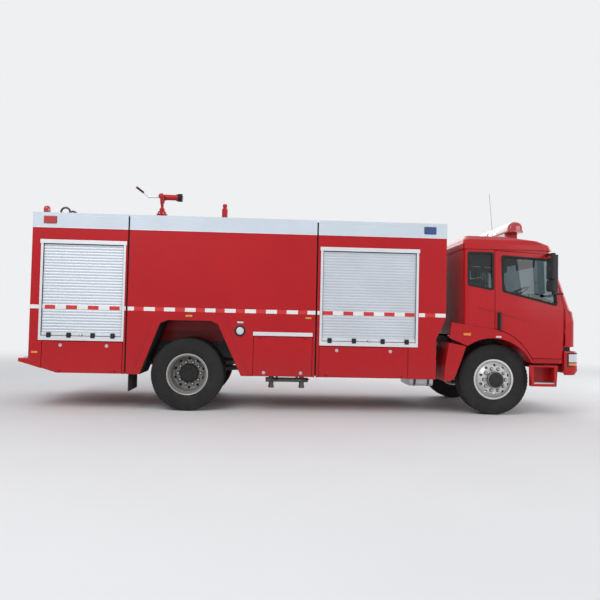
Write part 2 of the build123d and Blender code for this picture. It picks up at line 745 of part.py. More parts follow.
# Shutter frames: header, side rails and sill round each bay, standing a little proud
frame_back = body_half - wall
frame_face = body_half + rail_proud
with BuildPart() as shutter_frames:
    for x0, x1 in (rear_bay, front_bay):
        for s in (-1, 1):
            side_box(x0, x1, s * frame_back, s * frame_face, bay_bottom, bay_top)
            side_box(x0 - 10, x1 + 12, s * body_half, s * (frame_face + 8), bay_top - header_h, bay_top)
    for x0, x1 in (rear_bay, front_bay):
        hollow_box(x0 + rail_w, x1 - rail_w, frame_back - 1, frame_face + 20,
                   bay_bottom + sill_h, bay_top - header_h)
    for s in (-1, 1):
        side_box(mid_flap[0] - 11, mid_flap[1] + 5, s * body_half, s * (body_half + 10), 1126, 1181)
    tail_face = x_body_rear - rail_proud
    side_box(tail_face, x_body_rear + wall, tail_bay[0], tail_bay[1], bay_bottom, tail_bay_top)
    side_box(tail_face - 8, x_body_rear, tail_bay[0] - 10, tail_bay[1] + 10,
             tail_bay_top - header_h, tail_bay_top)
    with Locations((x_body_rear, (tail_bay[0] + tail_bay[1]) / 2, bay_bottom + sill_h)):
        Box(120, tail_bay[1] - tail_bay[0] - 2 * rail_w, tail_bay_top - bay_bottom - sill_h - header_h,
            align=(Align.CENTER, Align.CENTER, Align.MIN), mode=Mode.SUBTRACT)
shutter_frames.part.label = "shutter_frames"
export_step(shutter_frames.part, "parts/shutter_frames.step")


def curtain_section(height, back):
    """Vertical section of a slatted curtain: flat behind, a shallow crown on each slat."""
    count = round(height / slat_pitch)
    pitch = height / count
    face = back + curtain_t - 5
    with BuildSketch(mode=Mode.PRIVATE) as section:
        with BuildLine():
            Line((back, height), (back, 0))
            Line((back, 0), (face, 0))
            for i in range(count):
                z = i * pitch
                ThreePointArc((face, z), (face + 5, z + pitch / 2), (face, z + pitch))
            Line((face, height), (back, height))
        make_face()
    return section.sketch


curtain_h = bay_top - bay_bottom - header_h - sill_h
tail_curtain_h = tail_bay_top - bay_bottom - header_h - sill_h
curtain_z = bay_bottom + sill_h
with BuildPart() as shutters:
    for x0, x1 in (rear_bay, front_bay):
        with BuildSketch(Plane(origin=(x0 + rail_w, 0, curtain_z), x_dir=(0, 1, 0), z_dir=(1, 0, 0))):
            add(curtain_section(curtain_h, body_half - curtain_back))
        extrude(amount=x1 - x0 - 2 * rail_w)
    mirror(about=Plane.XZ)
    with BuildSketch(Plane(origin=(0, tail_bay[1] - rail_w, curtain_z), x_dir=(-1, 0, 0), z_dir=(0, 1, 0))):
        add(curtain_section(tail_curtain_h, -x_body_rear - curtain_back))
    extrude(amount=-(tail_bay[1] - tail_bay[0] - 2 * rail_w))
shutters.part.label = "shutters"
export_step(shutters.part, "parts/shutters.step")

# Rear mudguards: arch linings and the flaps that hang behind the wheels
mud_x = x_ra - 850
mud_t = 12
mud_bottom = 275
with BuildPart() as rear_mudguards:
    for plane in pair_planes(skirt_inner, body_half - 2):
        with BuildSketch(plane):
            add(arch_outline(0, body_bottom))
            add(arch_outline(-liner_t, body_bottom), mode=Mode.SUBTRACT)
        extrude(amount=body_half - 2 - skirt_inner)
    for s in (-1, 1):
        side_box(mud_x, mud_x + mud_t, s * (skirt_inner + 30), s * (body_half - 50), mud_bottom, body_bottom)
rear_mudguards.part.label = "rear_mudguards"
export_step(rear_mudguards.part, "parts/rear_mudguards.step")

# Tail step: a shallow wedge that carries on the belly's slant
with BuildPart() as tail_step:
    with BuildSketch(Plane.XZ.offset(-body_half)):
        with BuildLine():
            Polyline((x_tail, 734), (x_tail, 686), (x_body_rear, tail_z), (x_body_rear, 734), close=True)
        make_face()
    extrude(amount=2 * body_half)
tail_step.part.label = "tail_step"
export_step(tail_step.part, "parts/tail_step.step")

# Rear ladder: two tubes that hook over the roof band, with rungs and stand-offs
ladder_y = (120, 480)
ladder_out = 78
ladder_r = 17
hoop_r = 74
hoop_z = 3092
rung_pitch = 280
with BuildPart() as rear_ladder:
    x_rail = x_body_rear - ladder_out
    for y in ladder_y:
        with BuildLine():
            Line((x_rail, y, 734), (x_rail, y, hoop_z))
            ThreePointArc((x_rail, y, hoop_z), (x_rail + hoop_r, y, hoop_z + hoop_r),
                                 (x_rail + 2 * hoop_r, y, hoop_z))
            Line((x_rail + 2 * hoop_r, y, hoop_z), (x_rail + 2 * hoop_r, y, deck_top))
        with BuildSketch(Plane(origin=(x_rail, y, 734), z_dir=(0, 0, 1))):
            Circle(ladder_r)
        sweep()
    for i in range(8):
        with BuildSketch(Plane.XZ.offset(-ladder_y[0])):
            with Locations((x_rail, 960 + i * rung_pitch)):
                Circle(13)
        extrude(amount=-(ladder_y[1] - ladder_y[0]))
    for y in ladder_y:
        for z in (1080, 1780, 2480):
            with BuildSketch(Plane(origin=(x_rail, y, z), z_dir=(1, 0, 0))):
                Circle(11)
            extrude(amount=ladder_out)
rear_ladder.part.label = "rear_ladder"
export_step(rear_ladder.part, "parts/rear_ladder.step")

# Cab shell rows: height, front as a distance from the front axle, half width
cab_rows = (
    (cab_sill_z, x_sill_front, cab_half),
    (door_bottom_z, x_sill_front, cab_half),
    (belt_z, x_belt_front, cab_half),
    (shell_top_z, x_head_front, cab_roof_half),
)


def plan_outline(z, rear, front, half, r_front, r_rear):
    """Rounded plan outline, square to Z; rear and front are distances from the front axle."""
    with BuildSketch(Plane.XY.offset(z), mode=Mode.PRIVATE) as plan:
        with BuildLine():
            a = CenterArc((x_fa + front - r_front, half - r_front), r_front, 0, 90)
            b = CenterArc((x_fa + rear + r_rear, half - r_rear), r_rear, 90, 90)
            c = CenterArc((x_fa + rear + r_rear, r_rear - half), r_rear, 180, 90)
            d = CenterArc((x_fa + front - r_front, r_front - half), r_front, 270, 90)
            Line(a @ 1, b @ 0)
            Line(b @ 1, c @ 0)
            Line(c @ 1, d @ 0)
            Line(d @ 1, a @ 0)
        make_face()
    return plan.sketch


def cab_solid(inset):
    """The cab's outside form, moved inwards all round by a wall."""
    with BuildPart(mode=Mode.PRIVATE) as solid:
        loft(
            sections=[
                plan_outline(z, cab_rear + inset, front - inset, half - inset,
                             corner_r - inset, rear_corner_r - inset)
                for z, front, half in cab_rows
            ],
            ruled=True,
        )
    return solid.part


cab_outer = cab_solid(0)
cab_inner = cab_solid(cab_wall)
cab_ring = cab_outer - cab_inner


def rim_z(radius, x):
    """Height of the fender line's circle at a distance from the front axle."""
    return fender_line_z + sqrt(radius ** 2 - (x - fender_line_x) ** 2)


def rim_x(radius, z):
    """Distance from the front axle of the fender line's circle at a height."""
    return fender_line_x + sqrt(radius ** 2 - (z - fender_line_z) ** 2)


def side_face(points, arc_at, radius, center):
    """Side-view face from points given from the front axle; one leg is an arc."""
    with BuildSketch(mode=Mode.PRIVATE) as face:
        with BuildLine():
            for i, start in enumerate(points):
                stop = points[(i + 1) % len(points)]
                p = (x_fa + start[0], start[1])
                q = (x_fa + stop[0], stop[1])
                if i in arc_at:
                    u = (start[0] + stop[0]) / 2 - center[0]
                    v = (start[1] + stop[1]) / 2 - center[1]
                    reach = radius / sqrt(u * u + v * v)
                    ThreePointArc(p, (x_fa + center[0] + u * reach, center[1] + v * reach), q)
                else:
                    Line(p, q)
        make_face()
    return face.sketch


def door_outline(grow):
    """Door in side view, grown on every side by a running gap."""
    radius = fender_line_r + gap - grow
    rear = door_rear - grow
    foot = door_bottom_z - grow
    slope = (door_front - door_top_front) / (door_top_z - belt_z - 53)
    points = (
        (rear, rim_z(radius, rear)),
        (rim_x(radius, foot), foot),
        (door_front + grow, foot),
        (door_front + grow, belt_z + 53 + grow * slope / 2),
        (door_top_front + grow * (1 - slope), door_top_z + grow),
        (rear, door_top_rear_z + grow),
    )
    return side_face(points, (0,), radius, (fender_line_x, fender_line_z))


door_window = ((76, 2400), (799, 2360), (913, 1672), (90, 1869))
quarter_window = ((-438, 2440), (-66, 2440), (-66, 1890), (-438, 1955))
screen_rows = ((1665, 1060), (2440, 1020))


def window_face(points, round_r):
    """A side window in side view, with rounded corners."""
    with BuildSketch(mode=Mode.PRIVATE) as face:
        with BuildLine():
            Polyline(*[(x_fa + x, z) for x, z in points], close=True)
        make_face()
        fillet(face.vertices(), round_r)
    return face.sketch


def screen_face():
    """The windscreen seen from the front: local x runs to Y, local y runs up."""
    (z0, y0), (z1, y1) = screen_rows
    with BuildSketch(mode=Mode.PRIVATE) as face:
        with BuildLine():
            Polyline((-y0, z0), (y0, z0), (y1, z1), (-y1, z1), close=True)
        make_face()
        fillet(face.vertices(), 60)
    return face.sketch


def fender_points(drop, arch, foot):
    """Fender in side view: rear corner, top line, arc to the foot, back along the arch."""
    radius = fender_line_r - drop
    top_rear = rim_z(radius, door_rear) + 0.138 * 658
    return (
        (-692, top_rear),
        (door_rear, rim_z(radius, door_rear)),
        (rim_x(radius, foot), foot),
        (arch_x + sqrt(arch ** 2 - (foot - arch_z) ** 2), foot),
        (-444, arch_z + sqrt(arch ** 2 - (-444 - arch_x) ** 2)),
        (-720, 1148),
    )


front_cut_low = 1045
with BuildPart() as cab_shell:
    add(cab_ring)
    for plane in pair_planes(1000, cab_half + 10):
        with BuildSketch(plane):
            add(door_outline(gap))
            add(window_face(quarter_window, 40))
        extrude(amount=cab_half + 10 - 1000, mode=Mode.SUBTRACT)
    with Locations((x_fa - 1000, 0, cab_sill_z - 1)):
        Box(1540, 3000, cab_floor_z - cab_sill_z + 1, align=(Align.MIN, Align.CENTER, Align.MIN),
            mode=Mode.SUBTRACT)
    for plane in pair_planes(cab_half - cab_wall - 60, cab_half + 10):
        with BuildSketch(plane):
            add(side_face(
                (
                    (-900, rim_z(fender_line_r, door_rear) + 0.138 * 866),
                    (door_rear, rim_z(fender_line_r, door_rear)),
                    (rim_x(fender_line_r, cab_sill_z), cab_sill_z),
                    (rim_x(fender_line_r, cab_sill_z), cab_sill_z - 50),
                    (-900, cab_sill_z - 50),
                ),
                (1,), fender_line_r, (fender_line_x, fender_line_z),
            ))
        extrude(amount=cab_wall + 70, mode=Mode.SUBTRACT)
    with BuildSketch(Plane.YZ.offset(x_fa + 600)):
        add(screen_face())
    extrude(amount=800, mode=Mode.SUBTRACT)
    with Locations((x_fa + door_front + gap, 0, cab_sill_z - 1)):
        Box(400, 3000, front_cut_low - cab_sill_z, align=(Align.MIN, Align.CENTER, Align.MIN),
            mode=Mode.SUBTRACT)
cab_shell.part.label = "cab_shell"
export_step(cab_shell.part, "parts/cab_shell.step")

# Glass: a thin layer of the cab's form, cut to each window
glass_out = 18
glass_t = 6
glass_ring = cab_solid(glass_out) - cab_solid(glass_out + glass_t)
with BuildPart() as cab_glass:
    with BuildSketch(Plane.YZ.offset(x_fa + 600)):
        add(screen_face())
    extrude(amount=800)
    for plane in pair_planes(1000, cab_half):
        with BuildSketch(plane):
            add(window_face(quarter_window, 40))
        extrude(amount=cab_half - 1000)
    add(glass_ring, mode=Mode.INTERSECT)
cab_glass.part.label = "cab_glass"
export_step(cab_glass.part, "parts/cab_glass.step")

# Doors: the cab's own wall inside the door line, their glass, and mirrors with a handle
mirror_z = (1870, 2410)
mirror_y = (1330, 1500)
mirror_x = (700, 810)
for tag, side in bodies_side:
    plane = pair_planes(1000, cab_half + 10)[0 if side < 0 else 1]
    reach = cab_half + 10 - 1000
    with BuildPart() as door:
        with BuildSketch(plane):
            add(door_outline(0))
            add(window_face(door_window, 50), mode=Mode.SUBTRACT)
        extrude(amount=reach)
        add(cab_ring, mode=Mode.INTERSECT)
    door.part.label = f"door_{tag}"
    export_step(door.part, f"parts/door_{tag}.step")

    with BuildPart() as door_glass:
        with BuildSketch(plane):
            add(window_face(door_window, 50))
        extrude(amount=reach)
        add(glass_ring, mode=Mode.INTERSECT)
    door_glass.part.label = f"door_glass_{tag}"
    export_step(door_glass.part, f"parts/door_glass_{tag}.step")

    with BuildPart() as mirror_arm:
        head_x = x_fa + (mirror_x[0] + mirror_x[1]) / 2
        head_y = side * (mirror_y[0] + mirror_y[1]) / 2
        for z0, z1 in ((mirror_z[0] + 180, mirror_z[1]), (mirror_z[0], mirror_z[0] + 168)):
            with BuildSketch(Plane.XY.offset(z0)):
                with Locations((head_x, head_y)):
                    RectangleRounded(mirror_x[1] - mirror_x[0], mirror_y[1] - mirror_y[0], 34)
            extrude(amount=z1 - z0)
        with BuildSketch(Plane.XY.offset(mirror_z[0] + 100)):
            with Locations((head_x, head_y)):
                Circle(14)
        extrude(amount=160)
        side_box(x_fa + 745, x_fa + 795, side * (cab_roof_half - 20), side * 1420,
                 mirror_z[1], mirror_z[1] + 34)
        side_box(x_fa + 755, x_fa + 915, side * 1390, side * 1420, mirror_z[0] - 46, mirror_z[0] - 16)
        side_box(x_fa + 755, x_fa + 790, side * 1390, side * 1420, mirror_z[0] - 46, mirror_z[0])
        side_box(x_fa + 865, x_fa + 915, side * (cab_roof_half - 20), side * 1420,
                 mirror_z[0] - 46, mirror_z[0] - 16)
        side_box(x_fa + 20, x_fa + 44, side * (cab_half + 26), side * (cab_half + 42), 1300, 1545)
        for z in (1300, 1525):
            side_box(x_fa + 20, x_fa + 44, side * (cab_half - 20), side * (cab_half + 42), z, z + 20)
        add(cab_outer, mode=Mode.SUBTRACT)
    mirror_arm.part.label = f"door_fittings_{tag}"
    export_step(mirror_arm.part, f"parts/door_fittings_{tag}.step")

# Cab roof: a raised moulding with a drip edge, hollow inside
roof_rows = (
    (shell_top_z, 885, 1212, -512),
    (2580, 850, 1205, -515),
    (2650, 700, 1150, -490),
    (2715, 250, 1050, -440),
)
roof_wall = 45


def roof_solid(inset, drop):
    """The roof moulding's form; drop lowers every row but the first."""
    with BuildPart(mode=Mode.PRIVATE) as solid:
        loft(
            sections=[
                plan_outline(z - (drop if i else 0), rear + inset, front - inset, half - inset,
                             corner_r - inset, rear_corner_r - inset)
                for i, (z, front, half, rear) in enumerate(roof_rows)
            ],
            ruled=True,
        )
    return solid.part


roof_outer = roof_solid(0, 0)
with BuildPart() as cab_roof:
    add(roof_outer)
    add(roof_solid(roof_wall, roof_wall), mode=Mode.SUBTRACT)
cab_roof.part.label = "cab_roof"
export_step(cab_roof.part, "parts/cab_roof.step")

# Light bar on two feet
bar_x = x_fa + 480
bar_half = 750
bar_z = (2840, 3020)
with BuildPart() as light_bar:
    side_box(bar_x - 135, bar_x + 135, -bar_half, bar_half, bar_z[0], bar_z[0] + 40)
    with BuildSketch(Plane.YZ.offset(bar_x - 125)):
        with Locations((0, (bar_z[0] + 40 + bar_z[1]) / 2)):
            RectangleRounded(2 * bar_half - 16, bar_z[1] - bar_z[0] - 40, 30)
    extrude(amount=250)
    for s in (-1, 1):
        side_box(bar_x - 90, bar_x + 90, s * 480, s * 560, 2640, bar_z[0])
    add(roof_outer, mode=Mode.SUBTRACT)
light_bar.part.label = "light_bar"
export_step(light_bar.part, "parts/light_bar.step")

# Cab floor with its mounts on the frame, and a step well behind each door. The closed
# doors rest on its edge, and the circle that a door's front edge sweeps is cut out of it.
floor_half = cab_half - cab_wall
hinge_sweep = 98
well_x = (600, 1000)
well_y = (880, floor_half)
well_t = 12
well_foot = door_bottom_z - 20
floor_top = cab_floor_z + 50
with BuildPart() as cab_floor:
    with Locations((x_fa, 0, cab_floor_z)):
        Box(2400, 2 * floor_half, floor_top - cab_floor_z, align=(Align.CENTER, Align.CENTER, Align.MIN))
    for s in (-1, 1):
        side_box(x_fa + well_x[0], x_fa + well_x[1], s * well_y[0], s * well_y[1], well_foot, floor_top)
    add(cab_inner, mode=Mode.INTERSECT)
    for s in (-1, 1):
        with Locations((x_fa + hinge_x, s * cab_half, well_foot - 1)):
            Cylinder(hinge_sweep, floor_top - well_foot + 2, align=(Align.CENTER, Align.CENTER, Align.MIN),
                     mode=Mode.SUBTRACT)
        with Locations((x_fa + (well_x[0] + well_x[1]) / 2, s * (well_y[0] + well_y[1] + 2 * well_t) / 2,
                        well_foot + well_t)):
            Box(well_x[1] - well_x[0] - 2 * well_t, well_y[1] - well_y[0],
                floor_top - well_foot, align=(Align.CENTER, Align.CENTER, Align.MIN),
                mode=Mode.SUBTRACT)
        for x in (-400, 900):
            side_box(x_fa + x - 50, x_fa + x + 50, s * (rail_outer - rail_flange), s * rail_outer,
                     frame_top, cab_floor_z)
cab_floor.part.label = "cab_floor"
export_step(cab_floor.part, "parts/cab_floor.step")

# Front fenders with their wheel housings
seam = 3
housing_t = 6
housing_in = 620
fender_out = cab_half + 3
with BuildPart() as front_fenders:
    for plane in pair_planes(cab_half - cab_wall + 1, fender_out):
        with BuildSketch(plane):
            add(side_face(fender_points(seam, arch_r, cab_sill_z + 2), (1,),
                          fender_line_r - seam, (fender_line_x, fender_line_z)))
            with Locations((x_fa + arch_x, arch_z)):
                Circle(arch_r, mode=Mode.SUBTRACT)
        extrude(amount=fender_out - cab_half + cab_wall - 1)
    for plane in pair_planes(housing_in, fender_out):
        with BuildSketch(plane):
            with Locations((x_fa + arch_x, arch_z)):
                Circle(arch_r + housing_t)
                Circle(arch_r, mode=Mode.SUBTRACT)
            with Locations((x_fa + arch_x, arch_z)):
                Rectangle(3000, 1000, align=(Align.CENTER, Align.MAX), mode=Mode.SUBTRACT)
            with Locations((x_fa + arch_x, arch_z)):
                Rectangle(3000, cab_sill_z + 2 - arch_z, align=(Align.CENTER, Align.MIN), mode=Mode.SUBTRACT)
            with Locations((x_fa - 444, arch_z)):
                Rectangle(1000, 1000, align=(Align.MAX, Align.MIN), mode=Mode.SUBTRACT)
        extrude(amount=fender_out - housing_in)
    for s in (-1, 1):
        side_box(x_fa + arch_x - 60, x_fa + arch_x + 60, s * 700, s * 1100,
                 arch_z + arch_r + 2, cab_floor_z)
front_fenders.part.label = "front_fenders"
export_step(front_fenders.part, "parts/front_fenders.step")

# Lower mudguards behind the front wheels, hollow from behind, on a bracket from the frame
guard_y = (790, 1232)
guard_t = 12
guard_points = (
    (-467, 1030), (-548, 790), (-630, 570), (-700, 505), (-790, 505), (-780, 730), (-725, 1080),
)
with BuildPart() as lower_mudguards:
    for plane in pair_planes(guard_y[0], guard_y[1]):
        with BuildSketch(plane):
            add(side_face(guard_points, (), 0, (0, 0)))
        extrude(amount=guard_y[1] - guard_y[0])
    for plane in pair_planes(guard_y[0] + guard_t, guard_y[1] - guard_t):
        with BuildSketch(plane):
            add(side_face(guard_points, (), 0, (0, 0)))
            offset(amount=-guard_t, kind=Kind.INTERSECTION)
        extrude(amount=guard_y[1] - guard_y[0] - 2 * guard_t, mode=Mode.SUBTRACT)
    for s in (-1, 1):
        side_box(x_fa - 700, x_fa - 640, s * rail_outer, s * (guard_y[0] + 2), 800, 860)
lower_mudguards.part.label = "lower_mudguards"
export_step(lower_mudguards.part, "parts/lower_mudguards.step")

# Cab steps under the doors: a moulding with a tread recess, on a bracket from the frame
step_y = (1020, 1232)
step_top = 765
step_foot = 450
recess_x = (570, 880)
recess_z = 506
with BuildPart() as cab_steps:
    for plane in pair_planes(step_y[0], step_y[1]):
        with BuildSketch(plane):
            add(side_face(((491, step_top), (540, step_foot), (915, step_foot), (936, step_top)),
                          (), 0, (0, 0)))
        extrude(amount=step_y[1] - step_y[0])
    for s in (-1, 1):
        side_box(x_fa + 700, x_fa + 780, s * rail_outer, s * step_y[0], step_top - 60, step_top)
        with BuildSketch(Plane.XY.offset(step_foot - 1)):
            with BuildLine():
                Polyline((x_fa + 400, s * 1000), (x_fa + 600, s * 1000), (x_fa + 487, s * 1233),
                         (x_fa + 400, s * 1233), close=True)
            make_face()
        extrude(amount=step_top - step_foot + 2, mode=Mode.SUBTRACT)
    hollow_box(x_fa + recess_x[0], x_fa + recess_x[1], step_y[0] + 30, step_y[1] + 1, recess_z, step_top - 26)
cab_steps.part.label = "cab_steps"
export_step(cab_steps.part, "parts/cab_steps.step")


def bow_outline(z, rear, front, half, radius):
    """Plan of a piece that wraps the cab's front: square behind, rounded in front."""
    return plan_outline(z, rear, front, half, radius, 1)


# Front bumper on brackets from the frame, with a towing lug for a shackle under each rail
bumper_z = (627, 985)
bumper_rear = door_front + gap + 6
bumper_front = front_overhang
bumper_t = 70
tow_x = x_fa + 1150
tow_z = 670
tow_t = 30
with BuildPart() as front_bumper:
    loft(
        sections=[
            bow_outline(bumper_z[0], bumper_rear + 30, bumper_front - 34, body_half - 22, 150),
            bow_outline(bumper_z[0] + 60, bumper_rear, bumper_front, body_half, 160),
            bow_outline(bumper_z[1] - 20, bumper_rear, bumper_front - 12, body_half, 160),
            bow_outline(bumper_z[1], bumper_rear, bumper_front - 26, body_half - 8, 152),
        ],
        ruled=True,
    )
    with BuildSketch(Plane.XY.offset(bumper_z[0] - 1)):
        add(bow_outline(0, bumper_rear - 100, bumper_front - bumper_t, body_half - bumper_t, 90))
    extrude(amount=bumper_z[1] - bumper_z[0] + 2, mode=Mode.SUBTRACT)
    for s in (-1, 1):
        side_box(x_frame_front, x_fa + bumper_front - bumper_t + 2, s * (rail_outer - rail_flange),
                 s * rail_outer, frame_bottom + 10, frame_top - 40)
        side_box(tow_x - 55, tow_x - 35, s * (rail_outer - rail_flange), s * rail_outer,
                 tow_z - tow_t / 2, frame_bottom + 10)
        side_box(tow_x - 36, tow_x + 45, s * (rail_outer - rail_flange), s * rail_outer,
                 tow_z - tow_t / 2, tow_z + tow_t / 2)
        with Locations((tow_x, s * rail_mid_y, tow_z)):
            Cylinder(22, tow_t, mode=Mode.SUBTRACT)
front_bumper.part.label = "front_bumper"
export_step(front_bumper.part, "parts/front_bumper.step")

# Front panel: the grille moulding round the cab's nose, with four slots
panel_z = (1050, 1590)
panel_rear = door_front + gap + 17
panel_front = 1228
slot_z = (1120, 1200, 1280, 1360)
slot_h = 44
with BuildPart() as front_panel:
    loft(
        sections=[
            bow_outline(panel_z[0], panel_rear, panel_front, body_half + 3, 158),
            bow_outline(panel_z[0] + 380, panel_rear, panel_front, body_half + 3, 158),
            bow_outline(panel_z[1], panel_rear, panel_front - 32, body_half, 150),
        ],
        ruled=True,
    )
    with BuildSketch(Plane.XY.offset(panel_z[0] - 1)):
        add(bow_outline(0, panel_rear - 100, panel_front - 52, cab_half, corner_r - 5))
    extrude(amount=panel_z[1] - panel_z[0] + 2, mode=Mode.SUBTRACT)
    for z in slot_z:
        with Locations((x_fa + panel_front, 0, z)):
            Box(200, 1500, slot_h, align=(Align.CENTER, Align.CENTER, Align.MIN), mode=Mode.SUBTRACT)
    for s in (-1, 1):
        side_box(x_fa + 1050, x_fa + panel_front - 51, s * 800, s * 900, panel_z[0] + 60, panel_z[1] - 100)
    add(cab_outer, mode=Mode.SUBTRACT)
front_panel.part.label = "front_panel"
export_step(front_panel.part, "parts/front_panel.step")

# Two seats on their bases
seat_y = (350, 830)
cushion_z = (1500, 1640)
with BuildPart() as seats:
    for s in (-1, 1):
        side_box(x_fa, x_fa + 380, s * (seat_y[0] + 60), s * (seat_y[1] - 60), floor_top, cushion_z[0])
        with BuildSketch(Plane.XY.offset(cushion_z[0])):
            with Locations((x_fa + 180, s * (seat_y[0] + seat_y[1]) / 2)):
                RectangleRounded(480, seat_y[1] - seat_y[0], 50)
        extrude(amount=cushion_z[1] - cushion_z[0])
        with BuildSketch(Plane.YZ.offset(x_fa - 200)):
            with Locations((s * (seat_y[0] + seat_y[1]) / 2, (cushion_z[0] + 2280) / 2)):
                RectangleRounded(seat_y[1] - seat_y[0], 2280 - cushion_z[0], 80)
        extrude(amount=140)
seats.part.label = "seats"
export_step(seats.part, "parts/seats.step")

# Dashboard across the cab, with the steering wheel and its column
dash_x = (720, 1010)
dash_z = (1450, 1780)
wheel_center = (x_fa + 520, -590, 1860)
wheel_ring_r = 225
ring_t = 15
tilt_plane = Plane(origin=wheel_center, x_dir=(0, 1, 0), z_dir=(-0.5, 0, 0.866))
with BuildPart() as dashboard:
    with BuildSketch(Plane.XZ.offset(-1120)):
        add(side_face(
            ((dash_x[0] + 60, dash_z[0]), (dash_x[0], dash_z[0] + 130), (dash_x[0] + 30, dash_z[1]),
             (dash_x[1], dash_z[1] - 60), (dash_x[1], dash_z[0])), (), 0, (0, 0)))
    extrude(amount=2240)
    for s in (-1, 1):
        side_box(x_fa + dash_x[0] + 120, x_fa + dash_x[1] - 60, s * 100, s * 180, floor_top, dash_z[0])
    with BuildSketch(tilt_plane):
        Circle(34)
        Rectangle(2 * wheel_ring_r - ring_t, 30)
    extrude(amount=14, both=True)
    with BuildSketch(Plane(origin=tilt_plane.origin + tilt_plane.x_dir * wheel_ring_r,
                           x_dir=tilt_plane.x_dir, z_dir=tilt_plane.y_dir)):
        Circle(ring_t)
    revolve(axis=Axis(tilt_plane.origin, tilt_plane.z_dir))
    with BuildSketch(tilt_plane):
        Circle(26)
    extrude(amount=-440)
    split(bisect_by=Plane(origin=(x_fa + dash_x[1], 0, 0), z_dir=(-1, 0, 0)))
dashboard.part.label = "dashboard"
export_step(dashboard.part, "parts/dashboard.step")

# Fuel tank under the front locker on both sides, with beds from the frame
tank_x = (x_body_front - 510, x_body_front - 160)
tank_y = (520, 1150)
tank_z = (420, 960)
bevel = 50
with BuildPart() as fuel_tank:
    for s in (-1, 1):
        with BuildSketch(Plane.YZ.offset(tank_x[0])):
            with Locations((s * (tank_y[0] + tank_y[1]) / 2, (tank_z[0] + tank_z[1]) / 2)):
                RectangleRounded(tank_y[1] - tank_y[0], tank_z[1] - tank_z[0], bevel)
        extrude(amount=tank_x[1] - tank_x[0])
        for x in (tank_x[0] + 40, tank_x[1] - 90):
            side_box(x, x + 50, s * rail_outer, s * (tank_y[0] + 2), 790, 900)
fuel_tank.part.label = "fuel_tank"
export_step(fuel_tank.part, "parts/fuel_tank.step")

# Suction pipe along the near side under the middle module, with two capped ends
pipe_x = (x_ra + 1151, x_ra + 1786)
pipe_y = -1050
pipe_z = 470
pipe_r = 33
with BuildPart() as suction_pipe:
    with BuildSketch(Plane.YZ.offset(pipe_x[0])):
        with Locations((pipe_y, pipe_z)):
            Circle(pipe_r)
    extrude(amount=pipe_x[1] - pipe_x[0])
    for x in (x_ra + 1235, x_ra + 1690):
        with BuildSketch(Plane.XY.offset(pipe_z)):
            with Locations((x, pipe_y)):
                Circle(30)
        extrude(amount=pipe_z - 590)
        with BuildSketch(Plane.XY.offset(350)):
            with Locations((x, pipe_y)):
                RegularPolygon(42, 6)
        extrude(amount=44)
    for x in (x_ra + 1300, x_ra + 1600):
        side_box(x, x + 34, pipe_y - 12, pipe_y + 12, pipe_z, body_bottom)
suction_pipe.part.label = "suction_pipe"
export_step(suction_pipe.part, "parts/suction_pipe.step")

# Roof fittings that do not move: monitor riser, vent post and two rear beacons
riser_r = 55
collar_r = 68
collar_top = 3125
spigot_r = 30
vent_x = x_ra + 395
beacon_x = x_ra - 2125
beacon_y = 1100
with BuildPart() as roof_fittings:
    with BuildSketch(Plane.XY.offset(deck_top)):
        with Locations((monitor_x, 0)):
            Circle(riser_r)
    extrude(amount=collar_top - deck_top)
    for z, r, h in ((deck_top, 110, 16), (monitor_flange_z - 25, 90, 25), (monitor_flange_z, collar_r, 40)):
        with BuildSketch(Plane.XY.offset(z)):
            with Locations((monitor_x, 0)):
                Circle(r)
        extrude(amount=h)
    with BuildSketch(Plane.XY.offset(collar_top)):
        with Locations((monitor_x, 0)):
            Circle(spigot_r + seat)
    extrude(amount=-60, mode=Mode.SUBTRACT)
    for z, r, h in ((deck_top, 80, 12), (deck_top, 48, 395), (3195, 33, 85)):
        with BuildSketch(Plane.XY.offset(z)):
            with Locations((vent_x, 0)):
                Circle(r)
        extrude(amount=h)
    for s in (-1, 1):
        for z, r, h in ((deck_top, 48, 60), (2860, 38, 75)):
            with BuildSketch(Plane.XY.offset(z)):
                with Locations((beacon_x, s * beacon_y)):
                    Circle(r)
            extrude(amount=h)
        with BuildSketch(Plane.XY.offset(2935)):
            with Locations((beacon_x, s * beacon_y)):
                Circle(38)
        extrude(amount=36, taper=30)
roof_fittings.part.label = "roof_fittings"
export_step(roof_fittings.part, "parts/roof_fittings.step")

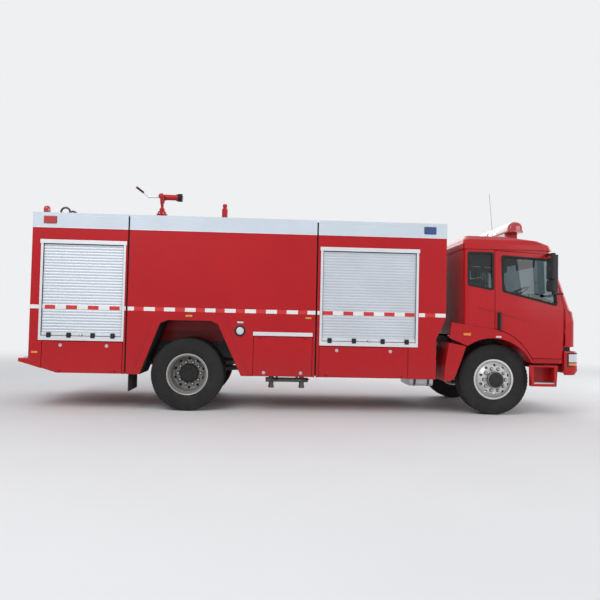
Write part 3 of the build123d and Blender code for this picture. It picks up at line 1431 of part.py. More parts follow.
# Monitor swivel: a spigot, a neck that clears the handle, and a yoke open at the top
arm_y = 85
boss_half = 23
boss_r = 47
yoke_r = boss_half
pin_r = 20
yoke_low = monitor_pivot_z - 43
neck_z = collar_top + 55
pivot_in = arm_y - boss_half
with BuildPart() as monitor_swivel:
    with BuildSketch(Plane.XY.offset(collar_top - 55)):
        with Locations((monitor_x, 0)):
            Circle(spigot_r)
    extrude(amount=60)
    for z0, z1, r in ((collar_top + seat, neck_z, 42), (neck_z, yoke_low - arm_y, yoke_r + 1)):
        with BuildSketch(Plane.XY.offset(z0)):
            with Locations((monitor_x, 0)):
                Circle(r)
        extrude(amount=z1 - z0)
    with BuildLine():
        Line((monitor_x, -arm_y, monitor_pivot_z - boss_r + 8), (monitor_x, -arm_y, yoke_low))
        ThreePointArc((monitor_x, -arm_y, yoke_low), (monitor_x, 0, yoke_low - arm_y),
                      (monitor_x, arm_y, yoke_low))
        Line((monitor_x, arm_y, yoke_low), (monitor_x, arm_y, monitor_pivot_z - boss_r + 8))
    with BuildSketch(Plane(origin=(monitor_x, -arm_y, monitor_pivot_z - boss_r + 8), z_dir=(0, 0, -1))):
        Circle(yoke_r)
    sweep()
    for s in (-1, 1):
        with BuildSketch(Plane.XZ.offset(s * pivot_in)):
            with Locations((monitor_x, monitor_pivot_z)):
                Circle(boss_r)
        extrude(amount=s * 2 * boss_half)
        with BuildSketch(Plane.XZ.offset(s * (pivot_in - 22))):
            with Locations((monitor_x, monitor_pivot_z)):
                Circle(pin_r)
        extrude(amount=s * 30)
monitor_swivel.part.label = "monitor_swivel"
export_step(monitor_swivel.part, "parts/monitor_swivel.step")

# Monitor barrel: cross tube, barrel, nozzle and the bent handle behind
cross_r = 48
nozzle_r = 63
handle_bend = (-220, 0)
handle_end = (-423, 150)
with BuildPart() as monitor_barrel:
    with BuildSketch(Plane.XZ.offset(-pivot_in + seat)):
        with Locations((monitor_x, monitor_pivot_z)):
            Circle(cross_r)
    extrude(amount=2 * (pivot_in - seat))
    with BuildSketch(Plane.YZ.offset(monitor_x)):
        with Locations((0, monitor_pivot_z)):
            Circle(barrel_r - 12)
    extrude(amount=250)
    with BuildSketch(Plane.YZ.offset(monitor_x + 245)):
        with Locations((0, monitor_pivot_z)):
            Circle(nozzle_r)
    extrude(amount=90)
    with BuildSketch(Plane.YZ.offset(monitor_x + 336)):
        with Locations((0, monitor_pivot_z)):
            Circle(36)
    extrude(amount=-80, mode=Mode.SUBTRACT)
    with BuildLine():
        Polyline(
            (monitor_x - 40, 0, monitor_pivot_z),
            (monitor_x + handle_bend[0], 0, monitor_pivot_z + handle_bend[1]),
            (monitor_x + handle_end[0], 0, monitor_pivot_z + handle_end[1]),
        )
    with BuildSketch(Plane(origin=(monitor_x - 40, 0, monitor_pivot_z), z_dir=(-1, 0, 0))):
        Circle(13)
    sweep(transition=Transition.ROUND)
    with Locations((monitor_x + handle_end[0], 0, monitor_pivot_z + handle_end[1])):
        Sphere(22)
    for s in (-1, 1):
        with BuildSketch(Plane.XZ.offset(s * pivot_in)):
            with Locations((monitor_x, monitor_pivot_z)):
                Circle(pin_r + seat)
        extrude(amount=-s * 24, mode=Mode.SUBTRACT)
monitor_barrel.part.label = "monitor_barrel"
export_step(monitor_barrel.part, "parts/monitor_barrel.step")

# Lamps let into the outside: band lamps, work lamps, fender lamps, head lamps, tail lamps
lamp_out = 10
with BuildPart() as marker_lamps:
    for s in (-1, 1):
        y0 = s * band_half
        y1 = s * (band_half + lamp_out)
        side_box(x_ra - 2114, x_ra - 1926, y0, y1, 2690, 2800)
        side_box(x_ra + 3471, x_ra + 3654, y0, y1, 2690, 2800)
        with BuildSketch(Plane.XZ.offset(-s * body_half)):
            with Locations((x_ra + 762, 1190)):
                Circle(52)
            with Locations((x_ra + 13, 1392)):
                Rectangle(110, 40)
        extrude(amount=-s * lamp_out)
        side_box(x_fa - 503, x_fa - 413, s * fender_out, s * (fender_out + lamp_out), 1191, 1231)
        side_box(x_body_rear - lamp_out, x_body_rear, s * 1130, s * 1220, 770, 930)
marker_lamps.part.label = "marker_lamps"
export_step(marker_lamps.part, "parts/marker_lamps.step")
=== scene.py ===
"""Looks of a two-axle fire truck: paint, glass, tyres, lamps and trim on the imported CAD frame."""

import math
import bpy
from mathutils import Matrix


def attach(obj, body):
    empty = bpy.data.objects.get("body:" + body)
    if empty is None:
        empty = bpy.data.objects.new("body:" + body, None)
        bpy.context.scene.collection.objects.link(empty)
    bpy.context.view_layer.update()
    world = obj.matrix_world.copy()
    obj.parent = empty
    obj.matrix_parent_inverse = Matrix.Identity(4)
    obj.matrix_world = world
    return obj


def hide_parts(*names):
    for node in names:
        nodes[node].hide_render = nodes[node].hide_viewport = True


bl_info = {
    "name": "Fire Truck Looks",
    "version": (1, 0, 0),
    "blender": (4, 5, 0),
    "location": "View3D > Sidebar > Fire Truck",
    "description": "Dresses the fire truck frame with its paint, lamps, tyres and trim",
    "category": "Object",
}

import bmesh
import bpy
from bpy.props import FloatProperty, FloatVectorProperty, IntProperty, PointerProperty
from mathutils import Matrix, Vector

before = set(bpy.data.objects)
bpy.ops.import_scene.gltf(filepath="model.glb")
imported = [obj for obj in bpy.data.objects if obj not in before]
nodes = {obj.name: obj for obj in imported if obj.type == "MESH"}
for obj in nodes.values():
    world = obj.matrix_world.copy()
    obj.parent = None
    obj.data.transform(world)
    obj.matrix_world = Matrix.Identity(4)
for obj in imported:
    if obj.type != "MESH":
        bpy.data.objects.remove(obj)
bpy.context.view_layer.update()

# Main places, in metres, as the CAD frame has them: axles, faces, ends, bays and roof fittings
X_FA = 2.860
X_RA = -1.740
AXLE_Z = 0.534
BODY_Y = 1.240
BAND_Y = 1.243
CAB_Y = 1.235
CURTAIN_Y = 1.2275
X_TAIL = -4.010
REAR_BAY = (-3.878, -2.663)
FRONT_BAY = (0.191, 1.657)
DECK_Z = 2.800
X_BEACON = X_RA - 2.125
X_VENT = X_RA + 0.395
X_MONITOR = X_RA - 0.650
MONITOR_Z = 3.368
RAIL_MID_Y = 0.3925
BELT_Z = 1.607
SEAT_Y = 0.590
PIPE_Y = -1.050
LOCKS_Z = 0.930
SIDES = (("r", -1), ("l", 1))
UP = (0, 0, 1)

# Every finish by its name
FINISHES = {}


def new_object(name, bm, look, body="chassis", bevel=0.0, steps=2, angle=35.0):
    """Turns a bmesh into an object of the body's, with a finish, smooth shading and soft edges."""
    mesh = bpy.data.meshes.new(name)
    bmesh.ops.recalc_face_normals(bm, faces=bm.faces)
    bm.to_mesh(mesh)
    bm.free()
    mesh.shade_smooth()
    mesh.set_sharp_from_angle(angle=math.radians(angle))
    obj = bpy.data.objects.new(name, mesh)
    bpy.context.scene.collection.objects.link(obj)
    mesh.materials.append(FINISHES[look])
    if bevel:
        edge = obj.modifiers.new("soft edges", "BEVEL")
        edge.width = bevel
        edge.segments = steps
        edge.limit_method = "ANGLE"
        edge.angle_limit = math.radians(30)
    if body:
        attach(obj, body)
    return obj


def block(bm, low, high):
    """A box between two corners."""
    lo = [min(a, b) for a, b in zip(low, high)]
    hi = [max(a, b) for a, b in zip(low, high)]
    middle = Vector([(a + b) / 2 for a, b in zip(lo, hi)])
    size = Vector([b - a for a, b in zip(lo, hi)])
    bmesh.ops.create_cube(bm, size=1.0, matrix=Matrix.Translation(middle) @ Matrix.Diagonal((*size, 1.0)))


def prism(bm, outline, place, depth):
    """A polygon given in a plane's own u and v, pushed along the plane's normal by depth."""
    low = [bm.verts.new(place @ Vector((u, v, 0.0))) for u, v in outline]
    high = [bm.verts.new(place @ Vector((u, v, depth))) for u, v in outline]
    bm.faces.new(low)
    bm.faces.new(list(reversed(high)))
    count = len(outline)
    for i in range(count):
        j = (i + 1) % count
        bm.faces.new((low[j], low[i], high[i], high[j]))


def side_place(y, side):
    """Plane on a side of the truck: u runs forward, v runs up, and the normal points outboard."""
    return Matrix(((1, 0, 0, 0), (0, 0, side, y), (0, 1, 0, 0), (0, 0, 0, 1)))


def end_place(x, facing):
    """Plane across the truck: u runs to +Y, v runs up, and the normal points along X by facing."""
    return Matrix(((0, 0, facing, x), (1, 0, 0, 0), (0, 1, 0, 0), (0, 0, 0, 1)))


def top_place(z):
    """Level plane: u runs forward, v runs to +Y, and the normal points up."""
    return Matrix.Translation((0, 0, z))


def rounded(u0, u1, v0, v1, radius, steps=5):
    """Outline of a rectangle with round corners."""
    points = []
    for cu, cv, start in ((u1 - radius, v1 - radius, 0), (u0 + radius, v1 - radius, 90),
                          (u0 + radius, v0 + radius, 180), (u1 - radius, v0 + radius, 270)):
        for i in range(steps + 1):
            a = math.radians(start + 90 * i / steps)
            points.append((cu + radius * math.cos(a), cv + radius * math.sin(a)))
    return points


def ring_of(outline, place, depth, width, bm):
    """A frame that follows an outline, width wide towards the outline's middle."""
    inner = inset(outline, width)
    rows = []
    for points, d in ((outline, 0.0), (outline, depth), (inner, depth), (inner, 0.0)):
        rows.append([bm.verts.new(place @ Vector((u, v, d))) for u, v in points])
    count = len(outline)
    for k in range(4):
        a, b = rows[k], rows[(k + 1) % 4]
        for i in range(count):
            j = (i + 1) % count
            bm.faces.new((a[i], a[j], b[j], b[i]))


def inset(outline, width):
    """An outline moved inwards by width; the outline may run either way round."""
    count = len(outline)
    area = sum(outline[i][0] * outline[(i + 1) % count][1] - outline[(i + 1) % count][0] * outline[i][1]
               for i in range(count))
    turn = 1.0 if area > 0 else -1.0
    result = []
    for i in range(count):
        p, q, r = (Vector(outline[(i + k) % count]) for k in (-1, 0, 1))
        a, b = (q - p).normalized(), (r - q).normalized()
        na, nb = Vector((-a.y, a.x)) * turn, Vector((-b.y, b.x)) * turn
        mitre = (na + nb).normalized()
        result.append(tuple(q + mitre * (width / max(0.3, mitre.dot(na)))))
    return result


def lathe(bm, profile, center, axis, steps=48, closed=False):
    """A profile of (along axis, radius) turned about an axis through center."""
    axis = Vector(axis).normalized()
    helper = Vector((0, 0, 1)) if abs(axis.z) < 0.9 else Vector((1, 0, 0))
    u = axis.cross(helper).normalized()
    v = axis.cross(u)
    center = Vector(center)
    rows = []
    for along, radius in profile:
        if radius < 1e-6:
            rows.append([bm.verts.new(center + axis * along)])
            continue
        rows.append([
            bm.verts.new(center + axis * along
                         + (u * math.cos(2 * math.pi * i / steps) + v * math.sin(2 * math.pi * i / steps))
                         * radius)
            for i in range(steps)
        ])
    pairs = list(zip(rows, rows[1:])) + ([(rows[-1], rows[0])] if closed else [])
    for a, b in pairs:
        for i in range(steps):
            j = (i + 1) % steps
            if len(a) == 1 and len(b) == 1:
                break
            if len(a) == 1:
                bm.faces.new((a[0], b[j], b[i]))
            elif len(b) == 1:
                bm.faces.new((a[i], a[j], b[0]))
            else:
                bm.faces.new((a[i], a[j], b[j], b[i]))


def tube(bm, path, radius, steps=12):
    """A round rod along a path of points, with its corners mitred and its ends closed."""
    points = [Vector(p) for p in path]
    rings = []
    normal = None
    for i, p in enumerate(points):
        before = (p - points[i - 1]).normalized() if i else (points[1] - p).normalized()
        after = (points[i + 1] - p).normalized() if i + 1 < len(points) else before
        along = (before + after).normalized()
        if normal is None:
            helper = Vector((0, 0, 1)) if abs(along.z) < 0.9 else Vector((1, 0, 0))
            normal = along.cross(helper).normalized()
        normal = (normal - along * normal.dot(along)).normalized()
        other = along.cross(normal)
        rings.append([
            bm.verts.new(p + (normal * math.cos(2 * math.pi * k / steps)
                              + other * math.sin(2 * math.pi * k / steps)) * radius)
            for k in range(steps)
        ])
    for a, b in zip(rings, rings[1:]):
        for k in range(steps):
            j = (k + 1) % steps
            bm.faces.new((a[k], a[j], b[j], b[k]))
    bm.faces.new(list(reversed(rings[0])))
    bm.faces.new(rings[-1])


def stud(bm, place, axis, radius, rise, top, top_radius, foot=0.0, steps=6):
    """A bolt head, nut or knob with a bevelled top, from its foot to its rise and top along the axis."""
    lathe(bm, [(foot, radius), (rise, radius), (top, top_radius), (top, 0.0)], place, axis, steps=steps)


def circle(center, radius, count, start=0.0, upright=False):
    """Places on a bolt circle, level or standing along the truck's side, from an angle in degrees."""
    x, y, z = center
    for i in range(count):
        a = math.radians(start + 360 * i / count)
        u, v = radius * math.cos(a), radius * math.sin(a)
        yield (x + u, y, z + v) if upright else (x + u, y + v, z)


def dash(bm, place, half_length, half_width, height):
    """One small bar of a tread pattern, on its own plane."""
    prism(bm, [(-half_length, -half_width), (half_length, -half_width), (half_length, half_width),
               (-half_length, half_width)], place, height)


def shader_group(name, inputs, outputs):
    """A shader node group with named sockets, and its input and output nodes."""
    group = bpy.data.node_groups.new(name, "ShaderNodeTree")
    for label, kind, default in inputs:
        socket = group.interface.new_socket(label, in_out="INPUT", socket_type=kind)
        socket.default_value = default
    for label, kind in outputs:
        group.interface.new_socket(label, in_out="OUTPUT", socket_type=kind)
    return group, group.nodes.new("NodeGroupInput"), group.nodes.new("NodeGroupOutput")


def add_node(tree, kind, settings=None, **links):
    """A node with its settings, and its inputs joined to sockets or given values."""
    node = tree.nodes.new(kind)
    for key, value in (settings or {}).items():
        setattr(node, key, value)
    for key, value in links.items():
        by_number = key[0] == "i" and key[1:].isdigit()
        socket = node.inputs[int(key[1:]) if by_number else key.replace("_", " ")]
        if isinstance(value, bpy.types.NodeSocket):
            tree.links.new(value, socket)
        else:
            socket.default_value = value
    return node


def object_point(tree, stretch=(1.0, 1.0, 1.0)):
    """The point in the truck's own frame, stretched along its axes."""
    place = add_node(tree, "ShaderNodeTexCoord")
    return add_node(tree, "ShaderNodeMapping", i0=place.outputs["Object"], i3=stretch).outputs[0]


def make_dust_group():
    """Road dust that thins out upwards, in cloudy patches."""
    group, given, out = shader_group(
        "Road dust",
        [("Color", "NodeSocketColor", (0.5, 0.5, 0.5, 1)),
         ("Dust Color", "NodeSocketColor", (0.28, 0.25, 0.21, 1)),
         ("Amount", "NodeSocketFloat", 0.4), ("Top Height", "NodeSocketFloat", 1.0),
         ("Roughness", "NodeSocketFloat", 0.4)],
        [("Color", "NodeSocketColor"), ("Roughness", "NodeSocketFloat")])
    point = object_point(group)
    split = add_node(group, "ShaderNodeSeparateXYZ", i0=point)
    fall = add_node(group, "ShaderNodeMapRange", i0=split.outputs[2], i1=0.0, i2=given.outputs["Top Height"],
                    i3=1.0, i4=0.0)
    cloud = add_node(group, "ShaderNodeTexNoise", Vector=point, Scale=3.5, Detail=8.0, Roughness=0.65)
    speck = add_node(group, "ShaderNodeTexNoise", Vector=point, Scale=60.0, Detail=3.0)
    patch = add_node(group, "ShaderNodeMapRange", i0=cloud.outputs[0], i1=0.38, i2=0.72, i3=0.25, i4=1.0)
    grain = add_node(group, "ShaderNodeMapRange", i0=speck.outputs[0], i1=0.35, i2=0.65, i3=0.7, i4=1.0)
    a = add_node(group, "ShaderNodeMath", {"operation": "MULTIPLY"}, i0=fall.outputs[0], i1=patch.outputs[0])
    b = add_node(group, "ShaderNodeMath", {"operation": "MULTIPLY"}, i0=a.outputs[0], i1=grain.outputs[0])
    c = add_node(group, "ShaderNodeMath", {"operation": "MULTIPLY"}, i0=b.outputs[0],
                 i1=given.outputs["Amount"])
    tint = add_node(group, "ShaderNodeMix", {"data_type": "RGBA"}, i0=c.outputs[0], i6=given.outputs["Color"],
                    i7=given.outputs["Dust Color"])
    rough = add_node(group, "ShaderNodeMapRange", i0=c.outputs[0], i1=0.0, i2=1.0,
                     i3=given.outputs["Roughness"], i4=0.9)
    group.links.new(tint.outputs[2], out.inputs["Color"])
    group.links.new(rough.outputs[0], out.inputs["Roughness"])
    return group


def make_wear_group():
    """Rubbed and chipped edges, where the surface turns sharply."""
    group, given, out = shader_group(
        "Edge wear",
        [("Color", "NodeSocketColor", (0.5, 0.5, 0.5, 1)),
         ("Wear Color", "NodeSocketColor", (0.4, 0.4, 0.4, 1)),
         ("Amount", "NodeSocketFloat", 0.5), ("Chip Scale", "NodeSocketFloat", 40.0)],
        [("Color", "NodeSocketColor"), ("Mask", "NodeSocketFloat")])
    point = object_point(group)
    edge = add_node(group, "ShaderNodeNewGeometry")
    turn = add_node(group, "ShaderNodeMapRange", i0=edge.outputs["Pointiness"], i1=0.515, i2=0.60, i3=0.0,
                    i4=1.0)
    chips = add_node(group, "ShaderNodeTexNoise", Vector=point, Scale=given.outputs["Chip Scale"], Detail=5.0)
    rub = add_node(group, "ShaderNodeMapRange", i0=chips.outputs[0], i1=0.48, i2=0.62, i3=0.0, i4=1.0)
    both = add_node(group, "ShaderNodeMath", {"operation": "MULTIPLY"}, i0=turn.outputs[0], i1=rub.outputs[0])
    mask = add_node(group, "ShaderNodeMath", {"operation": "MULTIPLY", "use_clamp": True}, i0=both.outputs[0],
                    i1=given.outputs["Amount"])
    tint = add_node(group, "ShaderNodeMix", {"data_type": "RGBA"}, i0=mask.outputs[0],
                    i6=given.outputs["Color"], i7=given.outputs["Wear Color"])
    group.links.new(tint.outputs[2], out.inputs["Color"])
    group.links.new(mask.outputs[0], out.inputs["Mask"])
    return group


def make_grain_group():
    """Fine grain of a moulded, sprayed or rolled surface, with a slow change of tone."""
    group, given, out = shader_group(
        "Surface grain",
        [("Color", "NodeSocketColor", (0.5, 0.5, 0.5, 1)), ("Tone", "NodeSocketFloat", 0.1),
         ("Grain Scale", "NodeSocketFloat", 300.0), ("Tone Scale", "NodeSocketFloat", 1.5),
         ("Stretch", "NodeSocketVector", (1.0, 1.0, 1.0))],
        [("Color", "NodeSocketColor"), ("Height", "NodeSocketFloat"), ("Shade", "NodeSocketFloat")])
    place = add_node(group, "ShaderNodeTexCoord")
    point = add_node(group, "ShaderNodeVectorMath", {"operation": "MULTIPLY"}, i0=place.outputs["Object"],
                     i1=given.outputs["Stretch"])
    fine = add_node(group, "ShaderNodeTexNoise", Vector=point.outputs[0], Scale=given.outputs["Grain Scale"],
                    Detail=2.0)
    slow = add_node(group, "ShaderNodeTexNoise", Vector=place.outputs["Object"],
                    Scale=given.outputs["Tone Scale"], Detail=4.0, Roughness=0.6)
    shade = add_node(group, "ShaderNodeMapRange", i0=slow.outputs[0], i1=0.3, i2=0.7, i3=-1.0, i4=1.0)
    push = add_node(group, "ShaderNodeMath", {"operation": "MULTIPLY"}, i0=shade.outputs[0],
                    i1=given.outputs["Tone"])
    gain = add_node(group, "ShaderNodeMath", {"operation": "ADD"}, i0=push.outputs[0], i1=1.0)
    tint = add_node(group, "ShaderNodeVectorMath", {"operation": "SCALE"}, i0=given.outputs["Color"])
    group.links.new(gain.outputs[0], tint.inputs["Scale"])
    group.links.new(tint.outputs[0], out.inputs["Color"])
    group.links.new(fine.outputs[0], out.inputs["Height"])
    group.links.new(shade.outputs[0], out.inputs["Shade"])
    return group


GROUPS = {}


def finish(name, color, roughness=0.5, metallic=0.0, dust=0.0, dust_top=1.2, wear=0.0,
           wear_color=(0.5, 0.5, 0.5),
           tone=0.08, grain=300.0, bump=0.05, stretch=(1.0, 1.0, 1.0), coat=0.0, transmission=0.0, sheen=0.0,
           ior=1.5, specular=0.5):
    """A procedural material: grain and tone, then edge wear, then road dust, on a Principled shader."""
    material = bpy.data.materials.new(name)
    material.use_nodes = True
    tree = material.node_tree
    shader = tree.nodes["Principled BSDF"]
    grained = add_node(tree, "ShaderNodeGroup", {"node_tree": GROUPS["grain"]}, Color=(*color, 1.0),
                       Tone=tone, Grain_Scale=grain, Stretch=stretch)
    last = grained.outputs["Color"]
    if wear:
        worn = add_node(tree, "ShaderNodeGroup", {"node_tree": GROUPS["wear"]}, Color=last,
                        Wear_Color=(*wear_color, 1.0), Amount=wear)
        last = worn.outputs["Color"]
    if dust:
        dusty = add_node(tree, "ShaderNodeGroup", {"node_tree": GROUPS["dust"]}, Color=last, Amount=dust,
                         Top_Height=dust_top, Roughness=roughness)
        last = dusty.outputs["Color"]
        tree.links.new(dusty.outputs["Roughness"], shader.inputs["Roughness"])
    elif transmission:
        shader.inputs["Roughness"].default_value = roughness
    else:
        uneven = add_node(tree, "ShaderNodeMapRange", i0=grained.outputs["Shade"], i1=-1.0, i2=1.0,
                          i3=max(0.02, roughness - 0.04), i4=min(1.0, roughness + 0.05))
        tree.links.new(uneven.outputs[0], shader.inputs["Roughness"])
    tree.links.new(last, shader.inputs["Base Color"])
    if bump:
        relief = add_node(tree, "ShaderNodeBump", Height=grained.outputs["Height"], Strength=bump,
                          Distance=0.001)
        tree.links.new(relief.outputs[0], shader.inputs["Normal"])
    for socket, value in (("Metallic", metallic), ("Coat Weight", coat), ("Coat Roughness", 0.08),
                          ("Transmission Weight", transmission), ("IOR", ior),
                          ("Specular IOR Level", specular), ("Sheen Weight", sheen)):
        shader.inputs[socket].default_value = value
    FINISHES[name] = material


class TRUCK_PG_looks(bpy.types.PropertyGroup):
    """Colours and sizes of the truck's looks that a user may want to change."""

    paint: FloatVectorProperty(name="Body paint", description="Main red of body and cab", subtype="COLOR",
                               default=(0.45, 0.007, 0.012), min=0.0, max=1.0)
    band: FloatVectorProperty(name="Roof band", description="Pale paint of the band round the roof",
                              subtype="COLOR", default=(0.60, 0.67, 0.74), min=0.0, max=1.0)
    shutter: FloatVectorProperty(name="Shutters", description="Anodised slats of the side shutters",
                                 subtype="COLOR", default=(0.56, 0.60, 0.65), min=0.0, max=1.0)
    dust: FloatProperty(name="Road dust", description="How much dust lies on the lower parts", default=0.35,
                        min=0.0, max=1.0, subtype="FACTOR")
    tape_height: FloatProperty(name="Tape height", description="Middle height of the reflective tape",
                               default=1.480, unit="LENGTH")
    tape_width: FloatProperty(name="Tape width", description="Width of the reflective tape", default=0.056,
                              unit="LENGTH")
    tread_pitches: IntProperty(name="Tread pitches", description="Tread blocks round each tyre", default=60,
                               min=24)
    lamp_height: FloatProperty(name="Key lamp height", description="Height of the large soft lamp",
                               default=9.0, unit="LENGTH")


class TRUCK_OT_finishes(bpy.types.Operator):
    """Make every finish and lay it on the CAD pieces"""

    bl_idname = "truck.finishes"
    bl_label = "Finishes"

    def execute(self, context):
        looks = context.scene.truck_looks
        GROUPS.update(dust=make_dust_group(), wear=make_wear_group(), grain=make_grain_group())
        dust = looks.dust
        red = tuple(looks.paint)
        finish("red paint", red, 0.32, coat=0.12, tone=0.05, grain=260, bump=0.02, dust=dust * 0.4,
               dust_top=0.9, wear=0.25, wear_color=(0.30, 0.02, 0.02), specular=0.22)
        finish("roof paint", tuple(looks.band), 0.36, coat=0.2, tone=0.04, grain=260, bump=0.02, specular=0.4)
        finish("tread plate", (0.46, 0.49, 0.53), 0.42, metallic=0.5, tone=0.08, grain=300, bump=0.1)
        finish("cabin cloth", (0.060, 0.062, 0.066), 0.9, tone=0.12, grain=900, bump=0.4)
        finish("shutter slats", tuple(looks.shutter), 0.42, metallic=0.35, tone=0.05, grain=500,
               stretch=(0.05, 0.05, 4.0), bump=0.04)
        finish("bright section", (0.72, 0.74, 0.77), 0.35, metallic=0.45, tone=0.04, grain=500,
               stretch=(0.05, 1.0, 4.0), bump=0.04)
        finish("black rubber", (0.016, 0.016, 0.016), 0.75, tone=0.2, grain=400, bump=0.15, dust=dust * 0.5,
               dust_top=1.4, specular=0.3)
        finish("black plastic", (0.016, 0.016, 0.018), 0.48, tone=0.12, grain=900, bump=0.25, dust=dust * 0.3,
               specular=0.3)
        finish("black paint", (0.02, 0.02, 0.022), 0.35, coat=0.3, tone=0.1, grain=200, bump=0.03, wear=0.3,
               wear_color=(0.16, 0.16, 0.17))
        finish("chassis paint", (0.030, 0.031, 0.034), 0.55, tone=0.2, grain=90, bump=0.1, dust=dust * 1.2,
               dust_top=1.6, wear=0.4, wear_color=(0.14, 0.12, 0.10))
        finish("cast metal", (0.10, 0.10, 0.105), 0.6, metallic=0.4, tone=0.2, grain=160, bump=0.4,
               dust=dust * 1.2, dust_top=1.6, wear=0.4, wear_color=(0.3, 0.3, 0.3))
        finish("tank sheet", (0.50, 0.52, 0.55), 0.38, metallic=0.8, tone=0.08, grain=300,
               stretch=(4.0, 0.1, 4.0), bump=0.05, dust=dust, dust_top=1.2)
        finish("wheel paint front", (0.62, 0.62, 0.62), 0.34, metallic=0.45, tone=0.08, grain=180, bump=0.05,
               dust=dust * 0.7, dust_top=1.4)
        finish("wheel paint rear", (0.30, 0.295, 0.285), 0.42, metallic=0.5, tone=0.12, grain=180, bump=0.06,
               dust=dust * 1.2, dust_top=1.6)
        finish("tyre rubber", (0.012, 0.012, 0.013), 0.78, tone=0.25, grain=220, bump=0.25, dust=dust * 0.28,
               dust_top=1.5, specular=0.3)
        finish("window glass", (0.30, 0.36, 0.38), 0.0, tone=0.02, bump=0.0, transmission=1.0, ior=1.45)
        finish("cabin plastic", (0.085, 0.088, 0.095), 0.6, tone=0.1, grain=800, bump=0.3)
        finish("seat cloth", (0.055, 0.060, 0.072), 0.85, tone=0.15, grain=700, bump=0.5, sheen=0.3)
        finish("lamp clear", (0.60, 0.62, 0.64), 0.12, tone=0.03, grain=200, bump=0.05, coat=0.8)
        finish("lamp red", (0.42, 0.008, 0.014), 0.14, tone=0.1, grain=160, bump=0.25, coat=0.9)
        finish("lamp orange", (0.80, 0.20, 0.01), 0.16, tone=0.1, grain=160, bump=0.25, coat=0.9)
        finish("lamp blue", (0.008, 0.045, 0.22), 0.14, tone=0.1, grain=160, bump=0.25, coat=0.9)
        finish("bright steel", (0.55, 0.56, 0.58), 0.28, metallic=0.9, tone=0.08, grain=260, bump=0.05)
        # Pale metal of the rings on the rim flanges: a painted highlight along each flange
        finish("rim highlight ring", (0.60, 0.60, 0.60), 0.30, metallic=0.6, tone=0.08, grain=180, bump=0.04)
        finish("tape white", (0.80, 0.80, 0.78), 0.35, tone=0.04, grain=900, bump=0.15)
        finish("tape red", (0.60, 0.025, 0.028), 0.35, tone=0.06, grain=900, bump=0.15)
        # Dark red for the painted shadow lines under the creases; also used for the dark seam lines beside
        # the rear wheel
        finish("panel shadow", (0.10, 0.004, 0.006), 0.5, tone=0.05, bump=0.0)
        finish("mirror glass", (0.75, 0.78, 0.80), 0.04, metallic=1.0, tone=0.02, bump=0.0)
        finish("bare plate", (0.78, 0.78, 0.75), 0.4, tone=0.04, grain=500, bump=0.05, dust=dust * 0.6)
        for name in nodes:
            kind = name.removesuffix("_r").removesuffix("_l")
            coats = nodes[name].data.materials
            coats.clear()
            coats.append(FINISHES[NODE_FINISH.get(kind, "red paint")])
        return {"FINISHED"}


# The finish of each CAD node, without its side letter; the others are painted red
NODE_FINISH = {
    "roof_decks": "roof paint", "seam_seals": "black rubber", "shutters": "shutter slats",
    "shutter_frames": "bright section", "rear_mudguards": "black rubber", "rear_ladder": "black paint",
    "cab_glass": "window glass", "door_glass": "window glass", "door_fittings": "black plastic",
    "light_bar": "lamp red", "cab_floor": "cabin plastic", "seats": "seat cloth",
    "dashboard": "cabin plastic",
    "fuel_tank": "tank sheet", "suction_pipe": "cast metal", "marker_lamps": "lamp red",
    "frame_rails": "chassis paint", "crossmembers": "chassis paint", "front_axle_beam": "chassis paint",
    "leaf_springs": "chassis paint", "rear_axle": "chassis paint", "engine_block": "cast metal",
    "drive_line": "cast metal", "knuckle": "cast metal", "front_rim": "wheel paint front",
    "rear_rims": "wheel paint rear", "front_tyre": "tyre rubber", "rear_tyres": "tyre rubber",
}


# Tyres: kind, axle, middle of each tyre from the truck's middle, body and node without the side letter
WHEELS = (
    ("front", X_FA, (0.990,), "front_wheel_", "front_tyre_"),
    ("rear", X_RA, (0.730, 1.050), "rear_wheel_", "rear_tyres_"),
)
# Ribs of the tread, across the tyre from its middle
RIBS = ((-0.116, -0.072), (-0.064, -0.028), (-0.020, 0.020), (0.028, 0.064), (0.072, 0.116))


